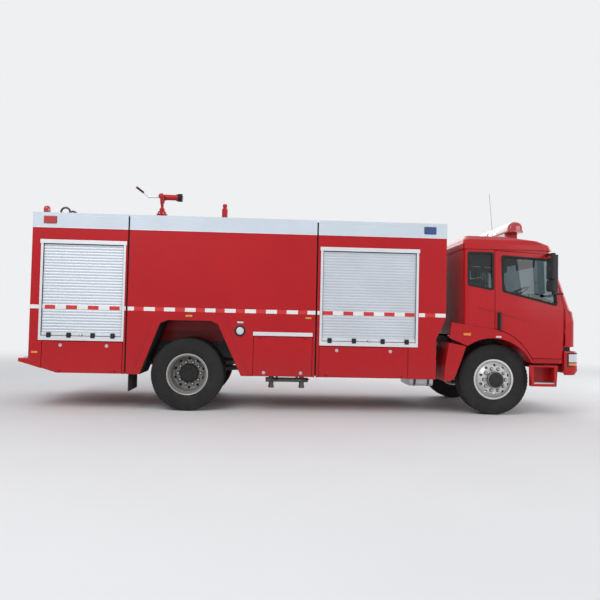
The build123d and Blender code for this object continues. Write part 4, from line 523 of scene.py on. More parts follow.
class TRUCK_OT_tyres(bpy.types.Operator):
    """Build the tyres with their side walls, ribs and tread blocks"""

    bl_idname = "truck.tyres"
    bl_label = "Tyres"

    def execute(self, context):
        pitches = context.scene.truck_looks.tread_pitches
        half = [(0.105, 0.2865), (0.105, 0.3038), (0.117, 0.3038), (0.121, 0.312), (0.1265, 0.325),
                (0.1275, 0.3265), (0.1275, 0.331), (0.1335, 0.350), (0.1385, 0.385), (0.1395, 0.418),
                (0.1375, 0.448), (0.1385, 0.450), (0.1365, 0.456), (0.1330, 0.474), (0.1290, 0.489),
                (0.1300, 0.492), (0.1250, 0.508), (0.1190, 0.518), (0.116, 0.5205)]
        profile = half + [(-a, r) for a, r in reversed(half)]
        for kind, x, rows, body, node in WHEELS:
            for tag, side in SIDES:
                bm = bmesh.new()
                for y in rows:
                    lathe(bm, profile, (x, side * y, AXLE_Z), (0, 1, 0), steps=120, closed=True)
                    for k, (a0, a1) in enumerate(RIBS):
                        shoulder = k in (0, 4)
                        for i in range(pitches):
                            step = 2 * math.pi / pitches
                            start = (i + 0.5 * (k % 2)) * step
                            wide = 0.80 if shoulder or kind == "rear" else 0.93
                            self.tread(bm, x, side * y, a0, a1, start, start + step * wide,
                                       0.35 if k % 2 else -0.35)
                obj = new_object(f"{kind}_tread_{tag}", bm, "tyre rubber", body + tag,
                                 angle=28)
                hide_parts(node + tag)
        return {"FINISHED"}

    def tread(self, bm, x, y, a0, a1, t0, t1, skew):
        """One tread block between two places across the tyre and two angles round it."""
        corners = []
        for top in (0, 1):
            for a, t in ((a0, t0), (a1, t0), (a1, t1), (a0, t1)):
                lean = skew * (a - (a0 + a1) / 2)
                r = (0.5335 - 0.0050 * (a / 0.116) ** 2) if top else 0.519
                shrink = 0.0 if top else 0.0015
                angle = t + lean + (shrink if t == t1 else -shrink)
                corners.append(bm.verts.new((x + r * math.cos(angle), y + a, AXLE_Z + r * math.sin(angle))))
        low, high = corners[:4], corners[4:]
        bm.faces.new(high)
        for i in range(4):
            j = (i + 1) % 4
            bm.faces.new((low[i], low[j], high[j], high[i]))


class TRUCK_OT_wheels(bpy.types.Operator):
    """Add hub covers, stud ends with painted shadow rings, painted highlight rings on the rims, and valves to
    the wheels
    """

    bl_idname = "truck.wheels"
    bl_label = "Wheels"

    def execute(self, context):
        for tag, side in SIDES:
            axis = (0, side, 0)
            for kind, x, hub_y, radius, reach, nut_y in (
                ("front", X_FA, side * 0.990, 0.1235, 0.2155, side * 1.176),
                ("rear", X_RA, side * 0.890, 0.1375, 0.0868, side * 0.930),
            ):
                body = f"{kind}_wheel_{tag}"
                cover, studs, rings = (bmesh.new() for _ in range(3))
                lathe(cover, [(reach - 0.050, radius + 0.002), (reach - 0.012, radius + 0.002),
                              (reach - 0.003, radius - 0.006), (reach, radius - 0.012), (reach, 0.058),
                              (reach + 0.005, 0.054), (reach + 0.006, 0.0)], (x, hub_y, AXLE_Z), axis,
                      steps=56)
                for place in circle((x, hub_y + side * reach, AXLE_Z), 0.088, 8, start=22, upright=True):
                    stud(cover, place, axis, 0.0105, 0.006, 0.0075, 0.008)
                for place in circle((x, nut_y, AXLE_Z), 0.167, 10, upright=True):
                    stud(studs, place, axis, 0.0098, 0.010, 0.0125, 0.0075, foot=-0.022, steps=16)
                    stud(studs, place, axis, 0.0185, 0.000, 0.003, 0.0150, foot=-0.022)
                    # Dark rings round the foot of each nut: painted shadow of the nut and its washer
                    stud(rings, place, axis, 0.0275, -0.0215, -0.0195, 0.0230, foot=-0.0262, steps=24)
                new_object(f"{kind}_hub_cover_{tag}", cover, "black plastic", body)
                new_object(f"{kind}_studs_{tag}", studs, "bright steel", body)
                new_object(f"{kind}_stud_shadow_rings_{tag}", rings, "chassis paint", body)
            # Pale rings on the rim flanges: painted highlight
            for kind, x, y in (("front", X_FA, 0.990), ("rear", X_RA, 1.050)):
                bm = bmesh.new()
                lathe(bm, [(0.1062, 0.2880), (0.1070, 0.2985), (0.1110, 0.3035), (0.1155, 0.3035),
                           (0.1162, 0.2990), (0.1135, 0.2950), (0.1135, 0.2860), (0.1062, 0.2790)],
                      (x, side * y, AXLE_Z), axis, steps=112, closed=True)
                new_object(f"{kind}_rim_highlight_ring_{tag}", bm, "rim highlight ring", f"{kind}_wheel_{tag}")
                bm = bmesh.new()
                a = math.radians(58)
                foot = Vector((x + 0.262 * math.cos(a), side * (y + 0.060), AXLE_Z + 0.262 * math.sin(a)))
                tip = Vector((x + 0.243 * math.cos(a), side * (y + 0.128), AXLE_Z + 0.243 * math.sin(a)))
                tube(bm, [foot, tip], 0.0055, 10)
                tube(bm, [tip, tip + (tip - foot).normalized() * 0.016], 0.0075, 10)
                new_object(f"{kind}_valve_{tag}", bm, "bright steel", f"{kind}_wheel_{tag}")
        return {"FINISHED"}


# Places of the tape's dashes along the side, measured on the photographed side
WHITE_DASHES = (
    (-4.008, -3.880), (-2.662, -2.643), (-2.615, -2.524), (-2.384, -2.224), (-2.091, -1.932),
    (-1.787, -1.632), (-1.496, -1.343), (-1.208, -1.048), (-0.912, -0.751), (-0.604, -0.443),
    (-0.300, -0.133), (0.006, 0.125), (0.153, 0.189), (1.668, 1.761), (1.917, 2.072),
)
RED_DASHES = (
    (-3.804, -3.654), (-3.502, -3.342), (-3.190, -3.035), (-2.879, -2.731),
    (0.226, 0.385), (0.540, 0.687), (0.842, 0.996), (1.150, 1.307), (1.460, 1.611),
)
BODY_SPANS = ((-4.008, -3.880), (-2.661, -2.643), (-2.615, 0.125), (0.153, 0.189), (1.659, 2.075))
CURTAIN_SPANS = ((-3.842, -2.699), (0.227, 1.621))


def between(spans, dashes):
    """What the dashes leave free of the spans."""
    free = []
    for a, b in spans:
        at = a
        for p, q in sorted(dashes):
            if q <= a or p >= b:
                continue
            if p > at:
                free.append((at, p))
            at = max(at, q)
        if at < b:
            free.append((at, b))
    return [(p, q) for p, q in free if q - p > 0.004]


class TRUCK_OT_tape(bpy.types.Operator):
    """Lay the red and white reflective tape along both sides"""

    bl_idname = "truck.tape"
    bl_label = "Tape"

    def execute(self, context):
        looks = context.scene.truck_looks
        low = looks.tape_height - looks.tape_width / 2
        high = looks.tape_height + looks.tape_width / 2
        for tag, side in SIDES:
            for name, finish_name, on_body, on_curtain in (
                ("tape_white", "tape white", WHITE_DASHES, between(CURTAIN_SPANS, RED_DASHES)),
                ("tape_red", "tape red", between(BODY_SPANS, WHITE_DASHES), RED_DASHES),
            ):
                bm = bmesh.new()
                for spans, y in ((on_body, BODY_Y), (on_curtain, CURTAIN_Y)):
                    for a, b in spans:
                        block(bm, (a, side * y, low), (b, side * (y + 0.0016), high))
                new_object(f"{name}_{tag}", bm, finish_name)
        return {"FINISHED"}


# Side shutters: row, bay, places of the latches and of the lock
SHUTTERS = (
    ("rear", REAR_BAY, (-3.730, -3.444, -3.102, -2.817), -3.271),
    ("front", FRONT_BAY, (0.342, 0.703, 1.131, 1.490), 0.927),
)


class TRUCK_OT_shutter_details(bpy.types.Operator):
    """Add seals, bottom bars, latches and locks to the shutters"""

    bl_idname = "truck.shutter_details"
    bl_label = "Shutter details"

    def execute(self, context):
        for tag, side in SIDES:
            inner = side * 1.222
            foot, cap = side_place(side * 1.2490, side), side_place(side * 1.2550, side)
            for row, (x0, x1), latches, lock in SHUTTERS:
                a, b = x0 + 0.034, x1 - 0.034
                seals, bar, black, bright = (bmesh.new() for _ in range(4))
                for u in (a, b):
                    block(seals, (u - 0.0045, inner, 1.063), (u + 0.0045, side * 1.2425, 2.401))
                block(seals, (a, inner, 2.3935), (b, side * BODY_Y, 2.4015))
                block(seals, (a + 0.006, inner, 1.0625), (b - 0.006, side * 1.2360, 1.0700))
                prism(bar, rounded(a + 0.006, b - 0.006, 1.0700, 1.1120, 0.006),
                      side_place(side * 1.2200, side), 0.0165)
                block(bar, (a + 0.006, side * 1.2360, 1.084), (b - 0.006, side * BODY_Y, 1.098))
                for u in latches:
                    self.latch(black, u, 1.038, foot, cap)
                    ring_of(rounded(u - 0.026, u + 0.026, 1.080, 1.106, 0.008), cap, 0.0030, 0.004, black)
                center = (lock, side * 1.2490, 1.080)
                lathe(black, [(0.0, 0.021), (0.006, 0.021), (0.008, 0.018)], center, (0, side, 0), steps=28)
                stud(bright, center, (0, side, 0), 0.0165, 0.010, 0.0115, 0.014, steps=28)
                block(bright, (lock - 0.0015, side * 1.260, 1.073), (lock + 0.0015, side * 1.2612, 1.087))
                new_object(f"{row}_curtain_seals_{tag}", seals, "black rubber")
                new_object(f"{row}_bottom_bar_{tag}", bar, "bright section", bevel=0.0015)
                new_object(f"{row}_latches_{tag}", black, "black plastic", bevel=0.0012)
                new_object(f"{row}_lock_{tag}", bright, "bright steel")
        seals, bar, black = (bmesh.new() for _ in range(3))
        for y in (-1.046, -0.054):
            block(seals, (-4.0125, y - 0.0045, 1.063), (-3.992, y + 0.0045, 2.243))
        block(seals, (-4.0100, -1.046, 2.2355), (-3.992, -0.054, 2.2435))
        block(bar, (-4.0085, -1.040, 1.068), (-3.990, -0.060, 1.112))
        for y in (-0.900, -0.620, -0.340):
            self.latch(black, y, 1.006, end_place(-4.0185, -1), end_place(-4.0245, -1))
        new_object("tail_curtain_seals", seals, "black rubber")
        new_object("tail_bottom_bar", bar, "bright section", bevel=0.0015)
        new_object("tail_latches", black, "black plastic", bevel=0.0012)
        return {"FINISHED"}

    def latch(self, bm, u, low, foot, cap):
        """The foot of a latch with its cap, from a height on the planes of both."""
        prism(bm, rounded(u - 0.032, u + 0.032, low, low + 0.074, 0.010), foot, 0.0060)
        prism(bm, rounded(u - 0.024, u + 0.024, low + 0.008, low + 0.036, 0.008), cap, 0.0085)


def lens(name, outline, place, depth, look, backing=True):
    """A soft-edged lamp lens on an outline, with a black foot round it."""
    bm = bmesh.new()
    prism(bm, inset(outline, 0.004), place, depth)
    obj = new_object(name, bm, look, bevel=min(0.004, depth * 0.4), steps=3)
    if backing:
        bm = bmesh.new()
        prism(bm, outline, place, depth * 0.45)
        new_object(name + "_foot", bm, "black rubber", bevel=0.001)
    return obj


# Lamps on the body's side: name, middle forward, middle height, width, height, finish
BODY_LAMPS = (
    ("arch_lamp", -1.727, 1.392, 0.110, 0.042, "lamp orange"),
    ("seam_lamp", 0.024, 1.398, 0.100, 0.040, "lamp orange"),
    ("mid_reflector", -0.977, 1.314, 0.100, 0.034, "lamp clear"),
    ("tail_reflector", -3.922, 0.823, 0.100, 0.040, "lamp orange"),
)
# Locks of the lower flaps: row, then forward place and height of each
FLAP_LOCKS = (
    ("mid", ((-0.620, 0.585), (-0.076, 0.588))),
    ("rear", ((-3.560, LOCKS_Z), (-2.900, LOCKS_Z))),
    ("front", ((0.450, LOCKS_Z), (1.250, LOCKS_Z))),
)
# Slanted seams beside the rear wheel: upper and lower end
PANEL_LINES = (((-1.186, 1.330), (-0.846, 0.531)), ((-2.248, 1.330), (-2.530, 0.531)))


class TRUCK_OT_side_lamps(bpy.types.Operator):
    """Put the lamps, reflectors, flap locks and panel lines on both sides"""

    bl_idname = "truck.side_lamps"
    bl_label = "Side lamps"

    def execute(self, context):
        for tag, side in SIDES:
            body_face = side_place(side * BODY_Y, side)
            band_face = side_place(side * BAND_Y, side)
            fender_face = side_place(side * 1.238, side)
            first = lens(f"band_lamp_red_{tag}", rounded(-3.854, -3.666, 2.690, 2.800, 0.012), band_face,
                         0.0105, "lamp red")
            if side < 0:
                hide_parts("marker_lamps")
            lens(f"band_lamp_blue_{tag}", rounded(1.731, 1.914, 2.690, 2.800, 0.012), band_face, 0.0105,
                 "lamp blue")
            for name, u, v, wide, high, glow in BODY_LAMPS:
                lens(f"{name}_{tag}", rounded(u - wide / 2, u + wide / 2, v - high / 2, v + high / 2, 0.008),
                     body_face, 0.0090, glow)
            lens(f"fender_lamp_{tag}", rounded(2.340, 2.464, 1.186, 1.234, 0.010), fender_face, 0.0100,
                 "lamp orange")
            ring, glass = bmesh.new(), bmesh.new()
            center = (-0.978, side * BODY_Y, 1.190)
            lathe(ring, [(0.0, 0.082), (0.006, 0.082), (0.011, 0.076), (0.013, 0.062), (0.006, 0.054),
                         (0.0, 0.054)],
                  center, (0, side, 0), steps=48, closed=True)
            lathe(glass, [(0.001, 0.055), (0.007, 0.054), (0.011, 0.046), (0.0135, 0.028), (0.0145, 0.0)],
                  center, (0, side, 0), steps=48)
            new_object(f"work_lamp_ring_{tag}", ring, "black plastic")
            new_object(f"work_lamp_glass_{tag}", glass, "lamp clear")
            for row, spots in FLAP_LOCKS:
                bm = bmesh.new()
                for u, v in spots:
                    lathe(bm, [(0.0, 0.024), (0.0025, 0.024), (0.0035, 0.019), (0.0025, 0.016),
                               (0.0050, 0.014), (0.0055, 0.0)], (u, side * BODY_Y, v), (0, side, 0), steps=28)
                new_object(f"{row}_flap_locks_{tag}", bm, "bright steel", f"flap_{row}_{tag}")
            bm = bmesh.new()
            for (u0, v0), (u1, v1) in PANEL_LINES:
                along = Vector((u1 - u0, v1 - v0)).normalized() * 0.0022
                side_step = Vector((-along.y, along.x))
                prism(bm, [(u0 - side_step.x, v0 - side_step.y), (u1 - side_step.x, v1 - side_step.y),
                           (u1 + side_step.x, v1 + side_step.y), (u0 + side_step.x, v0 + side_step.y)],
                      body_face, 0.0008)
            new_object(f"panel_lines_{tag}", bm, "panel shadow")
            bm = bmesh.new()
            for x0, x1 in ((-4.012, -2.643), (-2.615, 0.125), (0.153, 2.079)):
                block(bm, (x0, side * BAND_Y, 2.8095), (x1, side * 1.2452, 2.8145))
                block(bm, (x0, side * BAND_Y, 2.6320), (x1, side * 1.2446, 2.6400))
            new_object(f"band_trim_{tag}", bm, "bright section")
            y = side * 1.175
            lens(f"tail_lamp_{tag}", rounded(y - 0.045, y + 0.045, 0.770, 0.930, 0.012),
                 end_place(X_TAIL, -1), 0.0095, "lamp red")
        return {"FINISHED"}


def round_corners(points, radius, steps=6):
    """A polygon in a plane with every corner turned into an arc."""
    result = []
    count = len(points)
    for i in range(count):
        p, q, r = (Vector(points[(i + k) % count]) for k in (-1, 0, 1))
        a, b = (p - q).normalized(), (r - q).normalized()
        half = a.angle(b) / 2
        cut = min(radius / math.tan(half), (p - q).length * 0.45, (r - q).length * 0.45)
        bend = cut * math.tan(half)
        middle = q + (a + b).normalized() * (bend / math.sin(half))
        start, stop = q + a * cut - middle, q + b * cut - middle
        turn = math.atan2(start.x * stop.y - start.y * stop.x, start.dot(stop))
        base = math.atan2(start.y, start.x)
        for k in range(steps + 1):
            t = base + turn * k / steps
            result.append((middle.x + bend * math.cos(t), middle.y + bend * math.sin(t)))
    return result


# The windscreen's plane and the side windows' planes lean with the cab's upper half
LEAN_X = (1.165 - 0.862) / (2.500 - BELT_Z)
LEAN_Y = (CAB_Y - 1.192) / (2.500 - BELT_Z)


def plane(across, up, outward, origin):
    """Plane given by its two own axes, its normal and its origin."""
    return Matrix.Translation(origin) @ Matrix((across, up, outward)).transposed().to_4x4()


def screen_place(out=0.0):
    """Plane of the windscreen: u runs to +Y, v runs up the glass from the belt line."""
    ahead = Vector((1, 0, LEAN_X)).normalized()
    return plane(Vector((0, 1, 0)), Vector((-LEAN_X, 0, 1)).normalized(), ahead,
                 Vector((X_FA + 1.165, 0, BELT_Z)) + ahead * out)


def window_place(side, out=0.0):
    """Plane of the side windows: u is X, v runs up the glass from the belt line."""
    outward = Vector((0, side, LEAN_Y)).normalized()
    return plane(Vector((1, 0, 0)), Vector((0, -side * LEAN_Y, 1)).normalized(), outward,
                 Vector((0, side * CAB_Y, BELT_Z)) + outward * out)


def on_glass(points, lean):
    """Points given by their height above the ground, as points up a leaning plane."""
    stretch = math.sqrt(1 + lean * lean)
    return [(u, (z - BELT_Z) * stretch) for u, z in points]


# Corners of the glass by height above the ground
DOOR_WINDOW = [(X_FA + x, z) for x, z in ((0.076, 2.400), (0.799, 2.360), (0.913, 1.672), (0.090, 1.869))]
QUARTER_WINDOW = [(X_FA + x, z) for x, z in ((-0.438, 2.440), (-0.066, 2.440), (-0.066, 1.890),
                                             (-0.438, 1.955))]
SCREEN = [(-1.060, 1.665), (1.060, 1.665), (1.020, 2.440), (-1.020, 2.440)]


class TRUCK_OT_glazing(bpy.types.Operator):
    """Add the rubber round the windows, the black screen border and the wipers"""

    bl_idname = "truck.glazing"
    bl_label = "Glazing"

    def execute(self, context):
        for tag, side in SIDES:
            for name, points, radius, body in (("door", DOOR_WINDOW, 0.024, f"door_{tag}"),
                                               ("quarter", QUARTER_WINDOW, 0.022, "chassis")):
                outline = round_corners(on_glass(points, LEAN_Y), radius)
                bm = bmesh.new()
                ring_of(inset(outline, -0.016), window_place(side, -0.020), 0.0245, 0.034, bm)
                new_object(f"{name}_rubber_{tag}", bm, "black rubber", body, bevel=0.002)
        outline = round_corners(on_glass(SCREEN, LEAN_X), 0.060)
        bm = bmesh.new()
        ring_of(inset(outline, -0.020), screen_place(-0.020), 0.0250, 0.040, bm)
        new_object("screen_rubber", bm, "black rubber", bevel=0.002)
        bm = bmesh.new()
        place = screen_place(0.012)
        for y in (-0.62, 0.10):
            pivot = (y - 0.10, 0.015)
            tip = (y + 0.46, 0.125)
            tube(bm, [place @ Vector((*pivot, -0.010)), place @ Vector((*pivot, 0.014)),
                      place @ Vector((*tip, 0.010))], 0.006, 8)
            blade = [place @ Vector((tip[0] - 0.30, tip[1] - 0.020, -0.001)),
                     place @ Vector((tip[0] + 0.30, tip[1] + 0.030, -0.001))]
            tube(bm, blade, 0.0065, 8)
            stud(bm, place @ Vector((*pivot, 0.0)), place.to_3x3() @ Vector(UP), 0.016, 0.016, 0.019, 0.012,
                 foot=-0.012, steps=20)
        new_object("wipers", bm, "black plastic")
        return {"FINISHED"}


# The pressed line along the cab's side, up to and beyond the door's edge, as forward place and height
CREASES = {"door": ((2.829, 1.558), (3.084, 1.487), (3.351, 1.407)),
           "quarter": ((2.561, 1.617), (2.819, 1.558))}


class TRUCK_OT_doors(bpy.types.Operator):
    """Add creases with a painted shadow line under each, sill ribs, handle cups, inner trim and mirror
    glasses to the doors
    """

    bl_idname = "truck.doors"
    bl_label = "Doors"

    def execute(self, context):
        for tag, side in SIDES:
            face = side_place(side * CAB_Y, side)
            for name, body in (("door", f"door_{tag}"), ("quarter", "chassis")):
                line = CREASES[name]
                # Each crease is a raised red strip with a dark strip just under it: the dark strip is a
                # painted shadow line
                for part, low, high, depth, paint in (("crease", -0.002, 0.008, 0.0050, "red paint"),
                                                      ("crease_shadow", -0.007, -0.002, 0.0012,
                                                       "panel shadow")):
                    bm = bmesh.new()
                    prism(bm, [(u, v + low) for u, v in line] + [(u, v + high) for u, v in reversed(line)],
                          face, depth)
                    new_object(f"{name}_{part}_{tag}", bm, paint, body,
                               bevel=0.0020 if depth > 0.002 else 0.0)
            bm = bmesh.new()
            ring_of(rounded(X_FA + 0.002, X_FA + 0.062, 1.290, 1.556, 0.014), face, 0.0035, 0.008, bm)
            prism(bm, rounded(X_FA + 0.008, X_FA + 0.056, 1.296, 1.550, 0.010), face, 0.0012)
            stud(bm, (X_FA + 0.032, side * CAB_Y, 1.262), (0, side, 0), 0.012, 0.004, 0.005, 0.009, steps=20)
            new_object(f"handle_cup_{tag}", bm, "black plastic", f"door_{tag}", bevel=0.001)
            bm = bmesh.new()
            for i in range(5):
                z = 0.806 + 0.0125 * i
                block(bm, (X_FA + 0.540, side * 1.2340, z), (X_FA + 0.950, side * 1.2385, z + 0.0065))
            new_object(f"sill_ribs_{tag}", bm, "red paint", bevel=0.0015)
            x = X_FA + 0.7000
            glass, shade = bmesh.new(), bmesh.new()
            for z0, z1 in ((2.050, 2.410), (1.870, 2.038)):
                outline = rounded(side * 1.415 - 0.072, side * 1.415 + 0.072, z0 + 0.012, z1 - 0.012, 0.022)
                prism(glass, outline, end_place(x - 0.0005, -1), 0.0018)
                ring_of(inset(outline, -0.008), end_place(x + 0.002, -1), 0.0060, 0.010, shade)
            new_object(f"mirror_glass_{tag}", glass, "mirror glass", f"door_{tag}")
            new_object(f"mirror_rims_{tag}", shade, "black plastic", f"door_{tag}",
                       bevel=0.001)
            inner = side_place(side * 1.1838, -side)
            bm = bmesh.new()
            trim = [(X_FA + 0.010, 1.480), (X_FA + 0.700, 1.480), (X_FA + 0.860, 1.560),
                    (X_FA + 0.860, 1.160), (X_FA + 0.700, 1.060), (X_FA + 0.010, 1.330)]
            prism(bm, inset(trim, 0.010), inner, 0.012)
            block(bm, (X_FA + 0.30, side * 1.172, 1.400), (X_FA + 0.62, side * 1.120, 1.440))
            new_object(f"door_trim_{tag}", bm, "cabin plastic", f"door_{tag}", bevel=0.004)
        for tag, side in SIDES:
            lens(f"fender_reflector_{tag}", rounded(2.836, 2.926, 1.164, 1.198, 0.006),
                 side_place(side * 1.2375, side), 0.0050, "lamp clear", backing=False)
        return {"FINISHED"}


# The bumper in plan: its face ahead of the front axle, its half width and its corner radius
BUMPER_FACE, BUMPER_HALF, BUMPER_CORNER = 1.277, 1.232, 0.160


def bumper_path(y_start, x_end, out=0.0, steps=12):
    """Points in plan from the bumper's face, round its corner and back along its side."""
    cx, cy = X_FA + BUMPER_FACE - BUMPER_CORNER, BUMPER_HALF - BUMPER_CORNER
    points = [(X_FA + BUMPER_FACE + out, y_start)]
    for i in range(steps + 1):
        a = math.radians(90 * i / steps)
        points.append((cx + (BUMPER_CORNER + out) * math.cos(a), cy + (BUMPER_CORNER + out) * math.sin(a)))
    if x_end < cx:
        points.append((x_end, BUMPER_HALF + out))
    return points


def wrap(bm, path, side, z0, z1, thick):
    """A band of a given thickness that follows a plan path between two heights."""
    points = [Vector((x, side * y)) for x, y in path]
    rows = []
    for i, p in enumerate(points):
        before = (p - points[i - 1]).normalized() if i else (points[1] - p).normalized()
        after = (points[i + 1] - p).normalized() if i + 1 < len(points) else before
        along = (before + after).normalized()
        outward = Vector((along.y, -along.x)) * side
        q = p + outward * thick
        rows.append([bm.verts.new((p.x, p.y, z0)), bm.verts.new((q.x, q.y, z0)),
                     bm.verts.new((q.x, q.y, z1)), bm.verts.new((p.x, p.y, z1))])
    for a, b in zip(rows, rows[1:]):
        for k in range(4):
            j = (k + 1) % 4
            bm.faces.new((a[k], b[k], b[j], a[j]))
    bm.faces.new(rows[0])
    bm.faces.new(list(reversed(rows[-1])))


class TRUCK_OT_nose(bpy.types.Operator):
    """Fit the grille mesh, head lamps, turn lamps, fog lamps and the bare plate"""

    bl_idname = "truck.nose"
    bl_label = "Nose"

    def execute(self, context):
        bm = bmesh.new()
        block(bm, (X_FA + 1.1785, -0.765, 1.100), (X_FA + 1.1865, 0.765, 1.425))
        for z in (1.120, 1.200, 1.280, 1.360):
            for i in range(38):
                y = -0.74 + 0.04 * i
                block(bm, (X_FA + 1.187, y - 0.002, z), (X_FA + 1.205, y + 0.002, z + 0.044))
            block(bm, (X_FA + 1.187, -0.748, z + 0.020), (X_FA + 1.207, 0.748, z + 0.024))
        new_object("grille_mesh", bm, "black plastic")
        bm = bmesh.new()
        for z in (1.1105, 1.1905, 1.2705, 1.3505):
            block(bm, (X_FA + 1.2270, -0.750, z), (X_FA + 1.2310, 0.750, z + 0.0065))
        new_object("grille_trim", bm, "bright section", bevel=0.001)
        for tag, side in SIDES:
            bezel, clear, amber, cups = (bmesh.new() for _ in range(4))
            wrap(bezel, bumper_path(0.745, X_FA + 1.070), side, 0.750, 0.962, 0.0112)
            front = bumper_path(0.780, X_FA + 1.096, 0.0092)
            wrap(clear, front, side, 0.822, 0.942, 0.0034)
            wrap(amber, front, side, 0.772, 0.808, 0.0034)
            for y in (0.850, 0.985):
                lathe(cups, [(0.0, 0.050), (0.0018, 0.050), (0.0018, 0.044), (0.0, 0.044)],
                      (X_FA + 1.2880, side * y, 0.879), (1, 0, 0), steps=40, closed=True)
            new_object(f"head_lamp_bezel_{tag}", bezel, "black plastic", bevel=0.002)
            new_object(f"head_lamp_glass_{tag}", clear, "lamp clear", bevel=0.002)
            new_object(f"head_lamp_cups_{tag}", cups, "bright steel")
            new_object(f"turn_lamp_{tag}", amber, "lamp orange")
            bm = bmesh.new()
            lathe(bm, [(0.0, 0.052), (0.0080, 0.052), (0.0090, 0.046), (0.0045, 0.044), (0.0065, 0.020),
                       (0.0070, 0.0)],
                  (X_FA + 1.2805, side * 0.640, 0.868), (1, 0, 0), steps=40)
            new_object(f"fog_lamp_{tag}", bm, "lamp clear")
            bm = bmesh.new()
            block(bm, (X_FA + 1.280, side * 0.200 - 0.006, 0.811),
                  (X_FA + 1.2898, side * 0.200 + 0.006, 0.823))
            new_object(f"plate_screw_{tag}", bm, "bright steel")
        bm = bmesh.new()
        prism(bm, rounded(-0.235, 0.235, 0.742, 0.892, 0.012), end_place(X_FA + 1.2800, 1), 0.0094)
        new_object("front_plate", bm, "bare plate", bevel=0.001)
        return {"FINISHED"}


class TRUCK_OT_steps(bpy.types.Operator):
    """Add tread plates and nosings to the cab steps and the tail step"""

    bl_idname = "truck.steps"
    bl_label = "Steps"

    def execute(self, context):
        for tag, side in SIDES:
            bm = bmesh.new()
            low, high = sorted((side * 1.056, side * 1.2325))
            prism(bm, rounded(X_FA + 0.573, X_FA + 0.877, low, high, 0.008), top_place(0.5062), 0.0022)
            for i in range(9):
                for k in range(3):
                    lathe(bm, [(0.0022, 0.010), (0.0042, 0.008), (0.0042, 0.0)],
                          (X_FA + 0.600 + 0.0315 * i, side * (1.080 + 0.050 * k), 0.5062), UP, steps=10)
            block(bm, (X_FA + 0.572, side * 1.2318, 0.4920), (X_FA + 0.878, side * 1.2348, 0.5084))
            new_object(f"step_tread_{tag}", bm, "bright steel")
        bm = bmesh.new()
        block(bm, (-4.146, -1.225, 0.7342), (-4.020, 1.225, 0.7368))
        for i in range(58):
            for k in range(3):
                a = 1 if (i + k) % 2 else -1
                y = -1.200 + 0.042 * i
                x = -4.125 + 0.042 * k
                place = Matrix.Translation((x, y, 0.7368)) @ Matrix.Rotation(math.radians(45 * a), 4, "Z")
                dash(bm, place, 0.014, 0.003, 0.0018)
        new_object("tail_tread", bm, "bright steel")
        return {"FINISHED"}


# Light bar: middle of its width, underside, foot of the domes and top
BAR_X, BAR_LOW, DOME_Z, BAR_HIGH = X_FA + 0.480, 2.840, 2.840 + 0.036, 3.018


def dome(y0, y1, wide, tall, taper=0.0):
    """A ribbed half-round cover along the light bar, drawn in at its start over a share of its length."""
    section = [(math.cos(math.pi * i / 24), math.sin(math.pi * i / 24) ** 0.62) for i in range(25)]
    bm = bmesh.new()
    rows = []
    count = max(2, int(abs(y1 - y0) / 0.012))
    for k in range(count + 1):
        y = y0 + (y1 - y0) * k / count
        t = min(1.0, (k / count) / taper) if taper else 1.0
        squeeze = 1.0 - 0.22 * (1 - t) ** 2
        rib = 0.0018 if k % 2 else 0.0
        rows.append([bm.verts.new((BAR_X + (wide * squeeze + rib) * u, y,
                                   DOME_Z + (tall * squeeze + rib) * v))
                     for u, v in section])
    for a, b in zip(rows, rows[1:]):
        for i in range(len(section) - 1):
            bm.faces.new((a[i], a[i + 1], b[i + 1], b[i]))
        bm.faces.new((a[-1], a[0], b[0], b[-1]))
    bm.faces.new(rows[0])
    bm.faces.new(list(reversed(rows[-1])))
    return bm


class TRUCK_OT_light_bar(bpy.types.Operator):
    """Build the light bar: red ribbed domes, a pale middle and its feet"""

    bl_idname = "truck.light_bar"
    bl_label = "Light bar"

    def execute(self, context):
        x, low = BAR_X, BAR_LOW
        wide, tall = 0.118, BAR_HIGH - 0.004 - DOME_Z
        red = None
        for tag, side in SIDES:
            bm = dome(side * 0.738, side * 0.225, wide, tall, 0.12)
            cover = new_object(f"light_bar_dome_{tag}", bm, "lamp red", angle=50)
            red = red or cover
            bm = bmesh.new()
            for y in (0.62, 0.42):
                lathe(bm, [(0.0, 0.060), (0.05, 0.055), (0.085, 0.030), (0.088, 0.0)],
                      (x, side * y, low + 0.040), UP, steps=24)
            new_object(f"light_bar_cups_{tag}", bm, "bright steel")
            bm = bmesh.new()
            block(bm, (x - 0.090, side * 0.480, 2.695), (x + 0.090, side * 0.560, low + 0.004))
            block(bm, (x - 0.110, side * 0.470, 2.700), (x - 0.040, side * 0.570, 2.712))
            new_object(f"light_bar_foot_{tag}", bm, "red paint", bevel=0.006)
        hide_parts("light_bar")
        bm = dome(-0.222, 0.222, wide - 0.008, tall - 0.006)
        new_object("light_bar_middle", bm, "lamp clear", angle=50)
        bm = bmesh.new()
        prism(bm, rounded(x - 0.130, x + 0.130, -0.746, 0.746, 0.050), top_place(low), 0.036)
        new_object("light_bar_base", bm, "lamp red", bevel=0.006)
        bm = bmesh.new()
        for y in (-0.224, 0.224):
            block(bm, (x - 0.122, y - 0.006, low + 0.030), (x + 0.122, y + 0.006, low + 0.060))
        for i in range(7):
            block(bm, (x + 0.109, -0.150, low + 0.052 + 0.011 * i),
                  (x + 0.1155, 0.150, low + 0.057 + 0.011 * i))
        new_object("light_bar_grille", bm, "black plastic", bevel=0.001)
        return {"FINISHED"}


